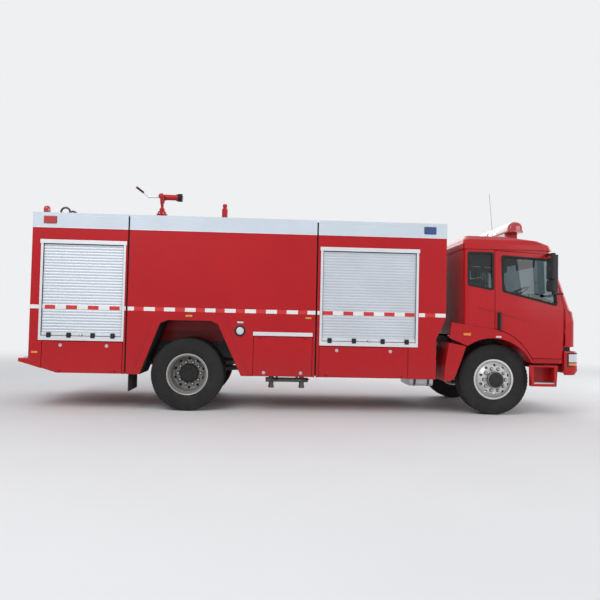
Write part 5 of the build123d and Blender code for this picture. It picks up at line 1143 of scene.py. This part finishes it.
class TRUCK_OT_roof(bpy.types.Operator):
    """Dress the roof: tread strips, manhole lid, beacons, vent post collar"""

    bl_idname = "truck.roof"
    bl_label = "Roof"

    def execute(self, context):
        sheet, bars = bmesh.new(), bmesh.new()
        for x0, x1 in ((-3.930, -2.690), (-2.570, 0.080), (0.205, 1.990)):
            for side in (-1, 1):
                low, high = sorted((side * 0.560, side * 1.020))
                prism(sheet, rounded(x0, x1, low, high, 0.012), top_place(DECK_Z + 0.0004), 0.0030)
                across = round((high - low - 0.04) / 0.050)
                along = round((x1 - x0 - 0.05) / 0.050)
                for i in range(along):
                    for k in range(across):
                        place = (Matrix.Translation((x0 + 0.040 + 0.050 * i, low + 0.035 + 0.050 * k,
                                                     DECK_Z + 0.0034))
                                 @ Matrix.Rotation(math.radians(45 if (i + k) % 2 else -45), 4, "Z"))
                        dash(bars, place, 0.015, 0.003, 0.0015)
        new_object("roof_tread", sheet, "tread plate", bevel=0.001)
        new_object("roof_tread_bars", bars, "tread plate")
        bm = bmesh.new()
        lathe(bm, [(0.0, 0.300), (0.014, 0.300), (0.016, 0.285), (0.030, 0.282), (0.036, 0.272),
                   (0.038, 0.180), (0.034, 0.172), (0.034, 0.0)], (-0.550, 0.0, DECK_Z), UP, steps=64)
        for place in circle((-0.550, 0.0, DECK_Z + 0.015), 0.290, 12):
            stud(bm, place, UP, 0.009, 0.006, 0.008, 0.006)
        tube(bm, [(-0.620, -0.150, DECK_Z + 0.030), (-0.620, -0.150, DECK_Z + 0.050),
                  (-0.480, -0.150, DECK_Z + 0.050), (-0.480, -0.150, DECK_Z + 0.030)], 0.006, 10)
        new_object("manhole_lid", bm, "roof paint", angle=30)
        for tag, side in SIDES:
            bm = bmesh.new()
            center = (X_BEACON, side * 1.100, 0.0)
            profile = [(2.8005, 0.062), (2.8120, 0.062), (2.8150, 0.056)]
            profile += [(2.8170 + 0.0065 * i, 0.0500 + (0.0012 if i % 2 else 0.0)) for i in range(18)]
            profile += [(2.940, 0.0485), (2.953, 0.0440), (2.964, 0.034), (2.970, 0.018), (2.972, 0.0)]
            lathe(bm, [(0.0, 0.060)] and profile, center, UP, steps=40)
            new_object(f"beacon_{tag}", bm, "lamp red", angle=50)
        bm = bmesh.new()
        center = (X_VENT, 0.0, 0.0)
        lathe(bm, [(2.8120, 0.082), (2.8180, 0.082), (2.8200, 0.078), (2.8200, 0.048)], center, UP)
        for z in (2.900, 3.020, 3.150):
            lathe(bm, [(z, 0.0482), (z + 0.002, 0.0515), (z + 0.012, 0.0515), (z + 0.014, 0.0482)], center,
                  UP)
        lathe(bm, [(3.1952, 0.0480), (3.2000, 0.0480), (3.2040, 0.0440), (3.2040, 0.0340)], center, UP)
        lathe(bm, [(3.240, 0.0333), (3.242, 0.0375), (3.270, 0.0375), (3.281, 0.0300), (3.284, 0.0)], center,
              UP)
        for place in circle(center, 0.066, 6):
            stud(bm, place, UP, 0.0095, 2.8240, 2.8255, 0.007, foot=2.8120)
        new_object("vent_post_rings", bm, "red paint", angle=30)
        return {"FINISHED"}


class TRUCK_OT_monitor(bpy.types.Operator):
    """Add bolts, rings, side lever, nozzle teeth, handle and grip to the water monitor"""

    bl_idname = "truck.monitor"
    bl_label = "Monitor"

    def execute(self, context):
        x, z = X_MONITOR, MONITOR_Z
        bolts = bmesh.new()
        for radius, flange_z in ((0.096, 2.816), (0.079, 3.085)):
            for place in circle((x, 0.0, flange_z), radius, 8, start=22.5):
                stud(bolts, place, UP, 0.0095, 0.008, 0.010, 0.007)
        new_object("monitor_bolts", bolts, "bright steel")
        bm = bmesh.new()
        for z0 in (2.870, 2.990):
            lathe(bm, [(z0, 0.0552), (z0 + 0.003, 0.0590), (z0 + 0.013, 0.0590), (z0 + 0.016, 0.0552)],
                  (x, 0, 0), UP)
        tube(bm, [(x, -0.050, 2.945), (x, -0.120, 2.945), (x - 0.012, -0.175, 2.985)], 0.0085, 12)
        lathe(bm, [(-0.016, 0.0), (-0.014, 0.010), (0.0, 0.017), (0.014, 0.010), (0.016, 0.0)],
              (x - 0.012, -0.175, 2.985), UP, steps=20)
        new_object("monitor_riser_parts", bm, "red paint", angle=30)
        bm = bmesh.new()
        lathe(bm, [(3.1285, 0.0425), (3.1320, 0.0455), (3.1560, 0.0455), (3.1600, 0.0425)], (x, 0, 0), UP)
        for side in (-1, 1):
            lathe(bm, [(0.0, 0.034), (0.004, 0.034), (0.006, 0.030), (0.006, 0.014), (0.004, 0.012),
                       (0.004, 0.0)],
                  (x, side * 0.1079, z), (0, side, 0), steps=32)
            for place in circle((x, side * 0.1079, z), 0.040, 6, upright=True):
                stud(bm, place, (0, side, 0), 0.0055, 0.0045, 0.0055, 0.004)
        new_object("monitor_swivel_parts", bm, "red paint", "monitor_swivel", angle=30)
        bm = bmesh.new()
        lathe(bm, [(0.052, 0.0430), (0.056, 0.0500), (0.070, 0.0500), (0.074, 0.0430)], (x, 0, z), (1, 0, 0))
        lathe(bm, [(0.225, 0.0430), (0.229, 0.0540), (0.243, 0.0540), (0.246, 0.0500)], (x, 0, z), (1, 0, 0))
        new_object("monitor_barrel_rings", bm, "red paint", "monitor_barrel", angle=30)
        bm = bmesh.new()
        lathe(bm, [(0.262, 0.0610), (0.2625, 0.0636), (0.3352, 0.0636), (0.3358, 0.0560), (0.3345, 0.0500),
                   (0.3340, 0.0365), (0.270, 0.0352)], (x, 0, z), (1, 0, 0), steps=60)
        for count, start, half, tooth in (
            (24, 0.268, 0.0045, ((0.0, 0.0625), (0.058, 0.0625), (0.058, 0.0655), (0.0, 0.0655))),
            (16, 0.3225, 0.0030, ((0.0, 0.0400), (0.011, 0.0410), (0.011, 0.0500), (0.0, 0.0500))),
        ):
            for i in range(count):
                turn = Matrix.Rotation(-2 * math.pi * i / count, 4, "X")
                prism(bm, tooth, Matrix.Translation((x + start, 0, z)) @ turn @ side_place(-half, 1),
                      2 * half)
        new_object("monitor_nozzle", bm, "black rubber", "monitor_barrel", angle=30)
        bend = Vector((x - 0.220, 0, z))
        tip = Vector((x - 0.423, 0, z + 0.150))
        way = (tip - bend).normalized()
        bm = bmesh.new()
        tube(bm, [(x - 0.052, 0, z), (x - 0.216, 0, z)], 0.0142, 20)
        tube(bm, [bend, bend + way * 0.110], 0.0142, 20)
        lathe(bm, [(-0.018, 0.0), (-0.013, 0.0135), (0.0, 0.0185), (0.013, 0.0135), (0.018, 0.0)],
              bend, (0, 1, 0), steps=24)
        new_object("monitor_handle", bm, "bright steel", "monitor_barrel", angle=40)
        bm = bmesh.new()
        grip = [(0.112, 0.0135)] + [(0.116 + 0.011 * i, 0.0185 - (0.0022 if i % 2 else 0.0))
                                    for i in range(12)]
        grip += [(0.243, 0.0195), (0.2515, 0.0218), (0.260, 0.0190), (0.266, 0.012), (0.268, 0.0)]
        lathe(bm, grip, bend, way, steps=28)
        new_object("monitor_grip", bm, "black rubber", "monitor_barrel", angle=40)
        return {"FINISHED"}


def pad(name, center, size, thick, channels=0, along=0, pinch=0.05):
    """A stuffed pad: crowned, pulled in between its corners, with sewn channels across its faces.

    The axis thick points through the pad, and the channels follow one another on the axis along.
    """
    edge = 0.62
    bm = bmesh.new()
    bmesh.ops.create_cube(bm, size=2.0)
    bmesh.ops.subdivide_edges(bm, edges=bm.edges[:], cuts=19, use_grid_fill=True)
    u, v = (k for k in range(3) if k != thick)
    for vert in bm.verts:
        p = vert.co.copy()
        a, b, c = p[u], p[v], p[thick]
        full = edge + (1 - edge) * math.sqrt(max(0.0, (1 - a ** 4) * (1 - b ** 4)))
        if channels:
            t = (p[along] + 1) / 2 * channels
            full -= 0.13 * math.exp(-((t - round(t)) * 10) ** 2) if 0.5 < t < channels - 0.5 else 0.0
        corner = 1 - 0.06 * (c * c) ** 2
        p[u] = a * (1 - pinch * (1 - b * b) * a * a) * corner * (1 - 0.035 * (b * b) ** 3)
        p[v] = b * (1 - pinch * (1 - a * a) * b * b) * corner * (1 - 0.035 * (a * a) ** 3)
        p[thick] = c * full
        vert.co = Vector(center) + Vector([p[k] * size[k] / 2 for k in range(3)])
    obj = new_object(name, bm, "seat cloth", angle=70)
    return obj


class TRUCK_OT_seats(bpy.types.Operator):
    """Build the two seats with their pads, bases, belts and shells"""

    bl_idname = "truck.seats"
    bl_label = "Seats"

    def execute(self, context):
        first = None
        for tag, side in SIDES:
            y = side * SEAT_Y
            cushion = pad(f"seat_cushion_{tag}", (X_FA + 0.185, y, 1.575), (0.460, 0.465, 0.125), 2, 4, 0)
            first = first or cushion
            pad(f"seat_back_{tag}", (X_FA - 0.118, y, 1.850), (0.118, 0.455, 0.500), 0, 4, 2)
            pad(f"head_rest_{tag}", (X_FA - 0.118, y, 2.190), (0.100, 0.290, 0.165), 0, pinch=0.03)
            for letter, k in (("a", -1), ("b", 1)):
                pad(f"seat_bolster_{tag}{letter}", (X_FA - 0.098, y + k * 0.196, 1.830),
                    (0.130, 0.062, 0.420), 0, pinch=0.02)
            shell = bmesh.new()
            block(shell, (X_FA - 0.198, y - 0.215, 1.600), (X_FA - 0.180, y + 0.215, 2.080))
            block(shell, (X_FA - 0.150, y - 0.205, 1.494), (X_FA + 0.400, y + 0.205, 1.514))
            for k in (-0.070, 0.070):
                tube(shell, [(X_FA - 0.125, y + k, 2.070), (X_FA - 0.125, y + k, 2.150)], 0.006, 10)
            new_object(f"seat_shell_{tag}", shell, "black plastic", bevel=0.006)
            base = bmesh.new()
            block(base, (X_FA + 0.010, y - 0.170, 1.242), (X_FA + 0.370, y + 0.170, 1.300))
            for i in range(5):
                z = 1.300 + 0.038 * i
                grow = 0.012 if i % 2 else 0.0
                block(base, (X_FA + 0.030 - grow, y - 0.150 - grow, z),
                      (X_FA + 0.350 + grow, y + 0.150 + grow, z + 0.038))
            new_object(f"seat_base_{tag}", base, "black rubber", bevel=0.006)
            belt = bmesh.new()
            tube(belt, [(X_FA - 0.190, side * 1.085, 2.230), (X_FA - 0.190, side * 1.085, 1.420)], 0.012, 8)
            block(belt, (X_FA - 0.215, side * 1.078, 2.205), (X_FA - 0.165, side * 1.098, 2.275))
            new_object(f"seat_belt_{tag}", belt, "black plastic")
        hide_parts("seats")
        return {"FINISHED"}


class TRUCK_OT_cabin(bpy.types.Operator):
    """Line the cab and add gauges, vents, pedals, lever and sun visors"""

    bl_idname = "truck.cabin"
    bl_label = "Cabin"

    def execute(self, context):
        liner = bmesh.new()
        block(liner, (2.4230, -1.120, 1.262), (2.4290, 1.120, 2.420))
        block(liner, (2.440, -1.090, 2.4560), (3.560, 1.090, 2.4640))
        for y in (-0.75, -0.25, 0.25, 0.75):
            prism(liner, rounded(y - 0.22, y + 0.22, 1.33, 2.34, 0.03), end_place(2.429, 1), 0.006)
        new_object("cab_liner", liner, "cabin cloth", bevel=0.002)
        bm = bmesh.new()
        block(bm, (2.4350, -1.100, 1.2420), (3.560, 1.100, 1.2480))
        new_object("floor_mat", bm, "black rubber", bevel=0.002)
        bm = bmesh.new()
        hood = [(X_FA + 0.742, 1.790), (X_FA + 0.760, 1.865), (X_FA + 0.900, 1.850), (X_FA + 0.985, 1.740)]
        prism(bm, hood, side_place(-0.800, 1), 0.420)
        for y in (-0.350, 0.0, 0.350, 0.900, -0.940):
            prism(bm, rounded(y - 0.060, y + 0.060, 1.630, 1.680, 0.008), end_place(X_FA + 0.728, -1), 0.006)
            for i in range(4):
                block(bm, (X_FA + 0.716, y - 0.054, 1.637 + 0.011 * i),
                      (X_FA + 0.722, y + 0.054, 1.641 + 0.011 * i))
        prism(bm, rounded(-0.160, 0.160, 1.500, 1.610, 0.010), end_place(X_FA + 0.738, -1), 0.012)
        tube(bm, [(X_FA + 0.40, -0.18, 1.245), (X_FA + 0.42, -0.17, 1.45), (X_FA + 0.38, -0.18, 1.62)], 0.009,
             12)
        lathe(bm, [(-0.024, 0.0), (-0.020, 0.016), (0.0, 0.024), (0.018, 0.018), (0.026, 0.0)],
              (X_FA + 0.376, -0.181, 1.64), UP, steps=24)
        for y in (-0.75, -0.62, -0.47):
            tube(bm, [(X_FA + 0.93, y, 1.46), (X_FA + 0.86, y, 1.33)], 0.007, 8)
            block(bm, (X_FA + 0.835, y - 0.035, 1.290), (X_FA + 0.850, y + 0.035, 1.350))
        for side in (-1, 1):
            low, high = sorted((side * 0.200, side * 0.900))
            prism(bm, rounded(low, high, 2.270, 2.420, 0.020), end_place(X_FA + 0.700, 1), 0.014)
        new_object("dash_fittings", bm, "black plastic", bevel=0.003)
        bm = bmesh.new()
        for y in (-0.690, -0.500):
            lathe(bm, [(0.0, 0.062), (0.003, 0.062), (0.004, 0.056), (0.002, 0.054), (0.002, 0.0)],
                  (X_FA + 0.7455, y, 1.815), (-1, 0, 0.25), steps=36)
        new_object("gauges", bm, "bright section")
        column = Matrix.Rotation(math.radians(-30), 3, "Y") @ Vector(UP)
        bm = bmesh.new()
        lathe(bm, [(-0.016, 0.070), (0.010, 0.070), (0.020, 0.060), (0.024, 0.0)],
              (X_FA + 0.520, -SEAT_Y, 1.860), column, steps=40)
        new_object("horn_pad", bm, "black plastic")
        return {"FINISHED"}


class TRUCK_OT_underbody(bpy.types.Operator):
    """Add spring bolts, brake chambers, tank straps, pipe fittings and flap bolts"""

    bl_idname = "truck.underbody"
    bl_label = "Underbody"

    def execute(self, context):
        for tag, side in SIDES:
            y = side * RAIL_MID_Y
            bolts = bmesh.new()
            for x, low, high, end_low, end_high in ((X_FA, 0.450, 0.510, 0.610, 0.660),
                                                    (X_RA, 0.620, 0.686, 0.642, 0.697)):
                for dx in (-0.038, 0.038):
                    tube(bolts, [(x + dx, y - 0.046, low - 0.05), (x + dx, y - 0.046, high + 0.006),
                                 (x + dx, y + 0.046, high + 0.006), (x + dx, y + 0.046, low - 0.05)], 0.0075,
                         10)
                for reach in (-0.5, -0.27, 0.27, 0.5):
                    rise = reach * reach
                    block(bolts, (x + reach * 0.7 - 0.014, y - 0.0415, low + (end_low - low) * rise - 0.004),
                          (x + reach * 0.7 + 0.014, y + 0.0415, high + (end_high - high) * rise + 0.004))
            new_object(f"spring_bolts_{tag}", bolts, "chassis paint")
            pots = bmesh.new()
            x = X_RA + 0.245
            lathe(pots, [(-0.075, 0.0), (-0.075, 0.050), (-0.068, 0.056), (-0.006, 0.056), (-0.006, 0.062),
                         (0.006, 0.062), (0.006, 0.056), (0.060, 0.054), (0.072, 0.040), (0.075, 0.0)],
                  (x, side * 0.512, 0.640), (1, 0, 0), steps=32)
            tube(pots, [(x - 0.075, side * 0.512, 0.640), (x - 0.170, side * 0.512, 0.620)], 0.010, 10)
            block(pots, (x - 0.085, side * 0.430, 0.600), (x - 0.072, side * 0.545, 0.680))
            new_object(f"brake_pots_{tag}", pots, "cast metal")
            straps = bmesh.new()
            for x in (1.640, 1.845):
                outline = rounded(*sorted((side * 0.5185, side * 1.1515)), 0.4185, 0.9615, 0.0600)
                ring_of(inset(outline, -0.0025), end_place(x - 0.019, 1), 0.038, 0.004, straps)
            new_object(f"tank_straps_{tag}", straps, "black paint")
            cap = bmesh.new()
            stud(cap, (1.742, side * 1.1505, 0.860), (0, side, 0), 0.044, 0.012, 0.016, 0.038, steps=32)
            block(cap, (1.712, side * 1.1660, 0.855), (1.772, side * 1.1760, 0.865))
            new_object(f"tank_cap_{tag}", cap, "black plastic")
            flap = bmesh.new()
            for k in range(4):
                stud(flap, (-2.5900, side * (0.860 + 0.090 * k), 0.510), (-1, 0, 0), 0.010, 0.005, 0.007,
                     0.007)
            new_object(f"flap_bolts_{tag}", flap, "bright steel")
        fittings, caps = bmesh.new(), bmesh.new()
        for x in (X_RA + 1.235, X_RA + 1.690):
            for z0, z1 in ((0.428, 0.440), (0.500, 0.512)):
                lathe(fittings, [(z0, 0.0302), (z0, 0.040), (z1, 0.040), (z1, 0.0302)], (x, PIPE_Y, 0), UP,
                      steps=32)
            lathe(fittings, [(0.3945, 0.0302), (0.3945, 0.036), (0.420, 0.036), (0.424, 0.0302)],
                  (x, PIPE_Y, 0), UP, steps=32)
            tube(fittings, [(x + 0.010, -1.082, 0.470), (x + 0.010, -1.098, 0.470),
                            (x + 0.085, -1.102, 0.478)], 0.0055, 10)
            tube(caps, [(x + 0.046, -1.102, 0.4745), (x + 0.110, -1.102, 0.4820)], 0.0095, 14)
            lathe(caps, [(0.3500, 0.0), (0.3496, 0.030), (0.3520, 0.036), (0.3540, 0.036)], (x, PIPE_Y, 0),
                  UP, steps=6)
        for x in (X_RA + 1.151, X_RA + 1.786):
            face = 1 if x > X_RA + 1.5 else -1
            lathe(fittings, [(-0.030, 0.0332), (-0.030, 0.0355), (-0.004, 0.0355), (0.000, 0.0340),
                             (0.000, 0.0)],
                  (x, PIPE_Y, 0.470), (face, 0, 0), steps=32)
        new_object("pipe_fittings", fittings, "cast metal", angle=30)
        new_object("pipe_handles", caps, "black plastic", angle=30)
        return {"FINISHED"}


class TRUCK_OT_tail(bpy.types.Operator):
    """Dress the tail: lamp rows, bare plate, rung sleeves, ladder feet and small lamps"""

    bl_idname = "truck.tail"
    bl_label = "Tail"

    def execute(self, context):
        place = end_place(X_TAIL, -1)
        for tag, side in SIDES:
            bm = bmesh.new()
            low, high = sorted((side * 0.935, side * 1.228))
            prism(bm, rounded(low, high, 0.760, 0.940, 0.012), place, 0.0040)
            new_object(f"tail_lamp_tray_{tag}", bm, "black plastic", bevel=0.001)
            for name, y, color in (("turn", 1.080, "lamp orange"), ("reverse", 0.985, "lamp clear")):
                lens(f"tail_{name}_{tag}", rounded(side * y - 0.042, side * y + 0.042, 0.770, 0.930, 0.012),
                     place, 0.0095, color, backing=False)
            lens(f"tail_high_lamp_{tag}", rounded(side * 1.120 - 0.060, side * 1.120 + 0.060, 2.680, 2.730,
                                                  0.010),
                 end_place(X_TAIL - 0.003, -1), 0.0090, "lamp red")
            lens(f"tail_round_{tag}", [(y, z) for y, z, _ in circle((side * 0.800, 0.850, 0.0), 0.035, 24)],
                 place, 0.0090, "lamp red")
        bm = bmesh.new()
        prism(bm, rounded(-0.620, -0.180, 0.790, 0.930, 0.010), end_place(X_TAIL, -1), 0.0050)
        new_object("rear_plate", bm, "bare plate", bevel=0.001)
        bm = bmesh.new()
        block(bm, (X_TAIL - 0.030, -0.440, 0.936), (X_TAIL, -0.360, 0.952))
        new_object("plate_lamp", bm, "black plastic", bevel=0.003)
        x = X_TAIL - 0.078
        sleeves, feet = bmesh.new(), bmesh.new()
        for i in range(8):
            z = 0.960 + 0.280 * i
            rows = [(-0.145, 0.0132)]
            rows += [(-0.142 + 0.0118 * k, 0.0148 + (0.0012 if k % 2 else 0.0)) for k in range(25)]
            rows += [(0.145, 0.0132)]
            lathe(sleeves, rows, (x, 0.300, z), (0, 1, 0), steps=16)
        for y in (0.120, 0.480):
            lathe(feet, [(0.734, 0.0172), (0.734, 0.034), (0.740, 0.034), (0.744, 0.0230), (0.770, 0.0200),
                         (0.772, 0.0172)], (x, y, 0), UP, steps=24)
            for z in (1.080, 1.780, 2.480):
                lathe(feet, [(0.0, 0.030), (0.006, 0.030), (0.008, 0.026), (0.008, 0.0112)], (X_TAIL, y, z),
                      (-1, 0, 0), steps=24)
        new_object("rung_sleeves", sleeves, "black rubber", angle=30)
        new_object("ladder_feet", feet, "black paint", angle=30)
        return {"FINISHED"}


class TRUCK_OT_cab_trim(bpy.types.Operator):
    """Add the aerial, a black block behind the bumper as painted shade of the gap there, and the hinge covers
    """

    bl_idname = "truck.cab_trim"
    bl_label = "Cab trim"

    def execute(self, context):
        bm = bmesh.new()
        lathe(bm, [(0.0, 0.024), (0.012, 0.022), (0.022, 0.012), (0.030, 0.010), (0.030, 0.0)],
              (3.060, -0.480, 2.700), UP, steps=24)
        tube(bm, [(3.060, -0.480, 2.725), (3.040, -0.480, 2.960), (2.990, -0.480, 3.500)], 0.0026, 8)
        new_object("aerial", bm, "black plastic")
        # Black block filling the gap between bumper and grille: painted shade of the gap
        bm = bmesh.new()
        block(bm, (3.905, -1.150, 0.986), (4.020, 1.150, 1.049))
        new_object("bumper_gap_shade", bm, "black plastic", bevel=0.004)
        for tag, side in SIDES:
            bm = bmesh.new()
            for z in (1.250, 1.560):
                block(bm, (X_FA + 1.030, side * 1.2345, z), (X_FA + 1.062, side * 1.2410, z + 0.070))
            new_object(f"hinge_covers_{tag}", bm, "red paint", bevel=0.003)
        return {"FINISHED"}


PALE = (0.86, 0.87, 0.88, 1.0)
FLOOR_RADIUS = 140.0
FADE_START, FADE_END = 6.5, 17.0
# Soft lamps: name, place, point it looks at, size and watts; the first one's height is a setting
LAMPS = (
    ("key lamp", (-5.0, -9.0, None), (0, 0, 1.2), 8.0, 640),
    ("fill lamp", (9.0, -8.0, 4.5), (0.5, 0, 1.2), 6.0, 250),
    ("back lamp", (2.0, 9.0, 8.0), (0, 0, 1.5), 8.0, 420),
    ("front lamp", (11.0, 2.0, 5.0), (2.0, 0, 1.5), 5.0, 240),
)
CAMERA_PLACE = (-0.525, -10.08, 1.370)
CAMERA_YAW, CAMERA_PITCH, CAMERA_ROLL = 0.0472, 0.0331, 0.0221


class TRUCK_OT_stage(bpy.types.Operator):
    """Lay the floor, hang the soft lamps and set the camera at the photograph's viewing angle"""

    bl_idname = "truck.stage"
    bl_label = "Stage"

    def execute(self, context):
        scene = context.scene
        floor = bmesh.new()
        bmesh.ops.create_circle(floor, cap_ends=True, segments=96, radius=FLOOR_RADIUS,
                                matrix=Matrix.Translation((0, 0, -0.0005)))
        pale = bpy.data.materials.new("pale floor")
        pale.use_nodes = True
        tree = pale.node_tree
        shader = tree.nodes["Principled BSDF"]
        shader.inputs["Roughness"].default_value = 0.9
        shader.inputs["Specular IOR Level"].default_value = 0.1
        point = object_point(tree)
        cloud = add_node(tree, "ShaderNodeTexNoise", Scale=0.8, Detail=5.0, Vector=point)
        tone = add_node(tree, "ShaderNodeMix", {"data_type": "RGBA"}, i0=cloud.outputs[0],
                        i6=(0.74, 0.74, 0.74, 1.0), i7=(0.79, 0.79, 0.79, 1.0))
        tree.links.new(tone.outputs[2], shader.inputs["Base Color"])
        reach = add_node(tree, "ShaderNodeVectorMath", {"operation": "LENGTH"}, i0=point)
        far = add_node(tree, "ShaderNodeMapRange", {"interpolation_type": "SMOOTHSTEP"},
                       i0=reach.outputs["Value"], i1=FADE_START, i2=FADE_END, i3=0.0, i4=1.0)
        fade = add_node(tree, "ShaderNodeMath", {"operation": "MULTIPLY"}, i0=far.outputs[0],
                        i1=self.seen(tree))
        glow = add_node(tree, "ShaderNodeEmission", Color=PALE, Strength=1.0)
        mix = add_node(tree, "ShaderNodeMixShader", i0=fade.outputs[0], i1=shader.outputs[0],
                       i2=glow.outputs[0])
        tree.links.new(mix.outputs[0], tree.nodes["Material Output"].inputs["Surface"])
        FINISHES["pale floor"] = pale
        obj = new_object("floor", floor, "pale floor", body=None)
        for name, (x, y, z), aim, size, power in LAMPS:
            place = Vector((x, y, scene.truck_looks.lamp_height if z is None else z))
            lamp = bpy.data.lights.new(name, "AREA")
            lamp.shape = "SQUARE"
            lamp.size = size
            lamp.energy = power
            holder = bpy.data.objects.new(name, lamp)
            scene.collection.objects.link(holder)
            holder.location = place
            holder.rotation_euler = (Vector(aim) - place).to_track_quat("-Z", "Y").to_euler()
        world = bpy.data.worlds.new("soft sky")
        scene.world = world
        world.use_nodes = True
        sky = world.node_tree
        light = sky.nodes["Background"]
        light.inputs["Color"].default_value = (0.92, 0.95, 1.0, 1.0)
        light.inputs["Strength"].default_value = 0.56
        backdrop = add_node(sky, "ShaderNodeBackground", Color=PALE, Strength=1.0)
        mix = add_node(sky, "ShaderNodeMixShader", i0=self.seen(sky), i1=light.outputs[0],
                       i2=backdrop.outputs[0])
        sky.links.new(mix.outputs[0], sky.nodes["World Output"].inputs["Surface"])
        scene.view_settings.view_transform = "Standard"
        lens = bpy.data.cameras.new("photo camera")
        lens.lens = 36.0
        lens.sensor_width = 36.0
        camera = bpy.data.objects.new("photo camera", lens)
        scene.collection.objects.link(camera)
        yaw, pitch, roll = CAMERA_YAW, CAMERA_PITCH, CAMERA_ROLL
        ahead = Vector((math.sin(yaw) * math.cos(pitch), math.cos(yaw) * math.cos(pitch), math.sin(pitch)))
        across = Vector((math.cos(yaw), -math.sin(yaw), 0.0))
        up = across.cross(ahead)
        right = across * math.cos(roll) + up * math.sin(roll)
        top = up * math.cos(roll) - across * math.sin(roll)
        camera.matrix_world = plane(right, top, -ahead, CAMERA_PLACE)
        scene.camera = camera
        return {"FINISHED"}

    def seen(self, tree):
        """1 for what the camera, a mirror or glass sees, 0 for the light on the truck."""
        ray = add_node(tree, "ShaderNodeLightPath")
        one = add_node(tree, "ShaderNodeMath", {"operation": "ADD"}, i0=ray.outputs["Is Camera Ray"],
                       i1=ray.outputs["Is Glossy Ray"])
        two = add_node(tree, "ShaderNodeMath", {"operation": "ADD", "use_clamp": True}, i0=one.outputs[0],
                       i1=ray.outputs["Is Transmission Ray"])
        return two.outputs[0]


CLASSES = [TRUCK_PG_looks, TRUCK_OT_finishes, TRUCK_OT_tyres, TRUCK_OT_wheels, TRUCK_OT_tape,
           TRUCK_OT_shutter_details, TRUCK_OT_side_lamps, TRUCK_OT_glazing, TRUCK_OT_doors, TRUCK_OT_nose,
           TRUCK_OT_steps, TRUCK_OT_light_bar, TRUCK_OT_roof, TRUCK_OT_monitor, TRUCK_OT_seats,
           TRUCK_OT_cabin, TRUCK_OT_underbody, TRUCK_OT_tail, TRUCK_OT_cab_trim, TRUCK_OT_stage]
STEPS = ["finishes", "tyres", "wheels", "tape", "shutter_details", "side_lamps", "glazing", "doors", "nose",
         "steps", "light_bar", "roof", "monitor", "seats", "cabin", "underbody", "tail", "cab_trim", "stage"]


class TRUCK_PT_looks(bpy.types.Panel):
    """The truck's dressing steps and settings"""

    bl_idname = "TRUCK_PT_looks"
    bl_label = "Fire Truck"
    bl_space_type = "VIEW_3D"
    bl_region_type = "UI"
    bl_category = "Fire Truck"

    def draw(self, context):
        looks = context.scene.truck_looks
        for key in looks.bl_rna.properties.keys():
            if key not in {"rna_type", "name"}:
                self.layout.prop(looks, key)
        for step in STEPS:
            self.layout.operator("truck." + step)


def register():
    for item in CLASSES + [TRUCK_PT_looks]:
        bpy.utils.register_class(item)
    bpy.types.Scene.truck_looks = PointerProperty(type=TRUCK_PG_looks)


def unregister():
    del bpy.types.Scene.truck_looks
    for item in reversed(CLASSES + [TRUCK_PT_looks]):
        bpy.utils.unregister_class(item)


def main():
    """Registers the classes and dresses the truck."""
    register()
    for step in STEPS:
        getattr(bpy.ops.truck, step)()


if __name__ == "__main__":
    main()
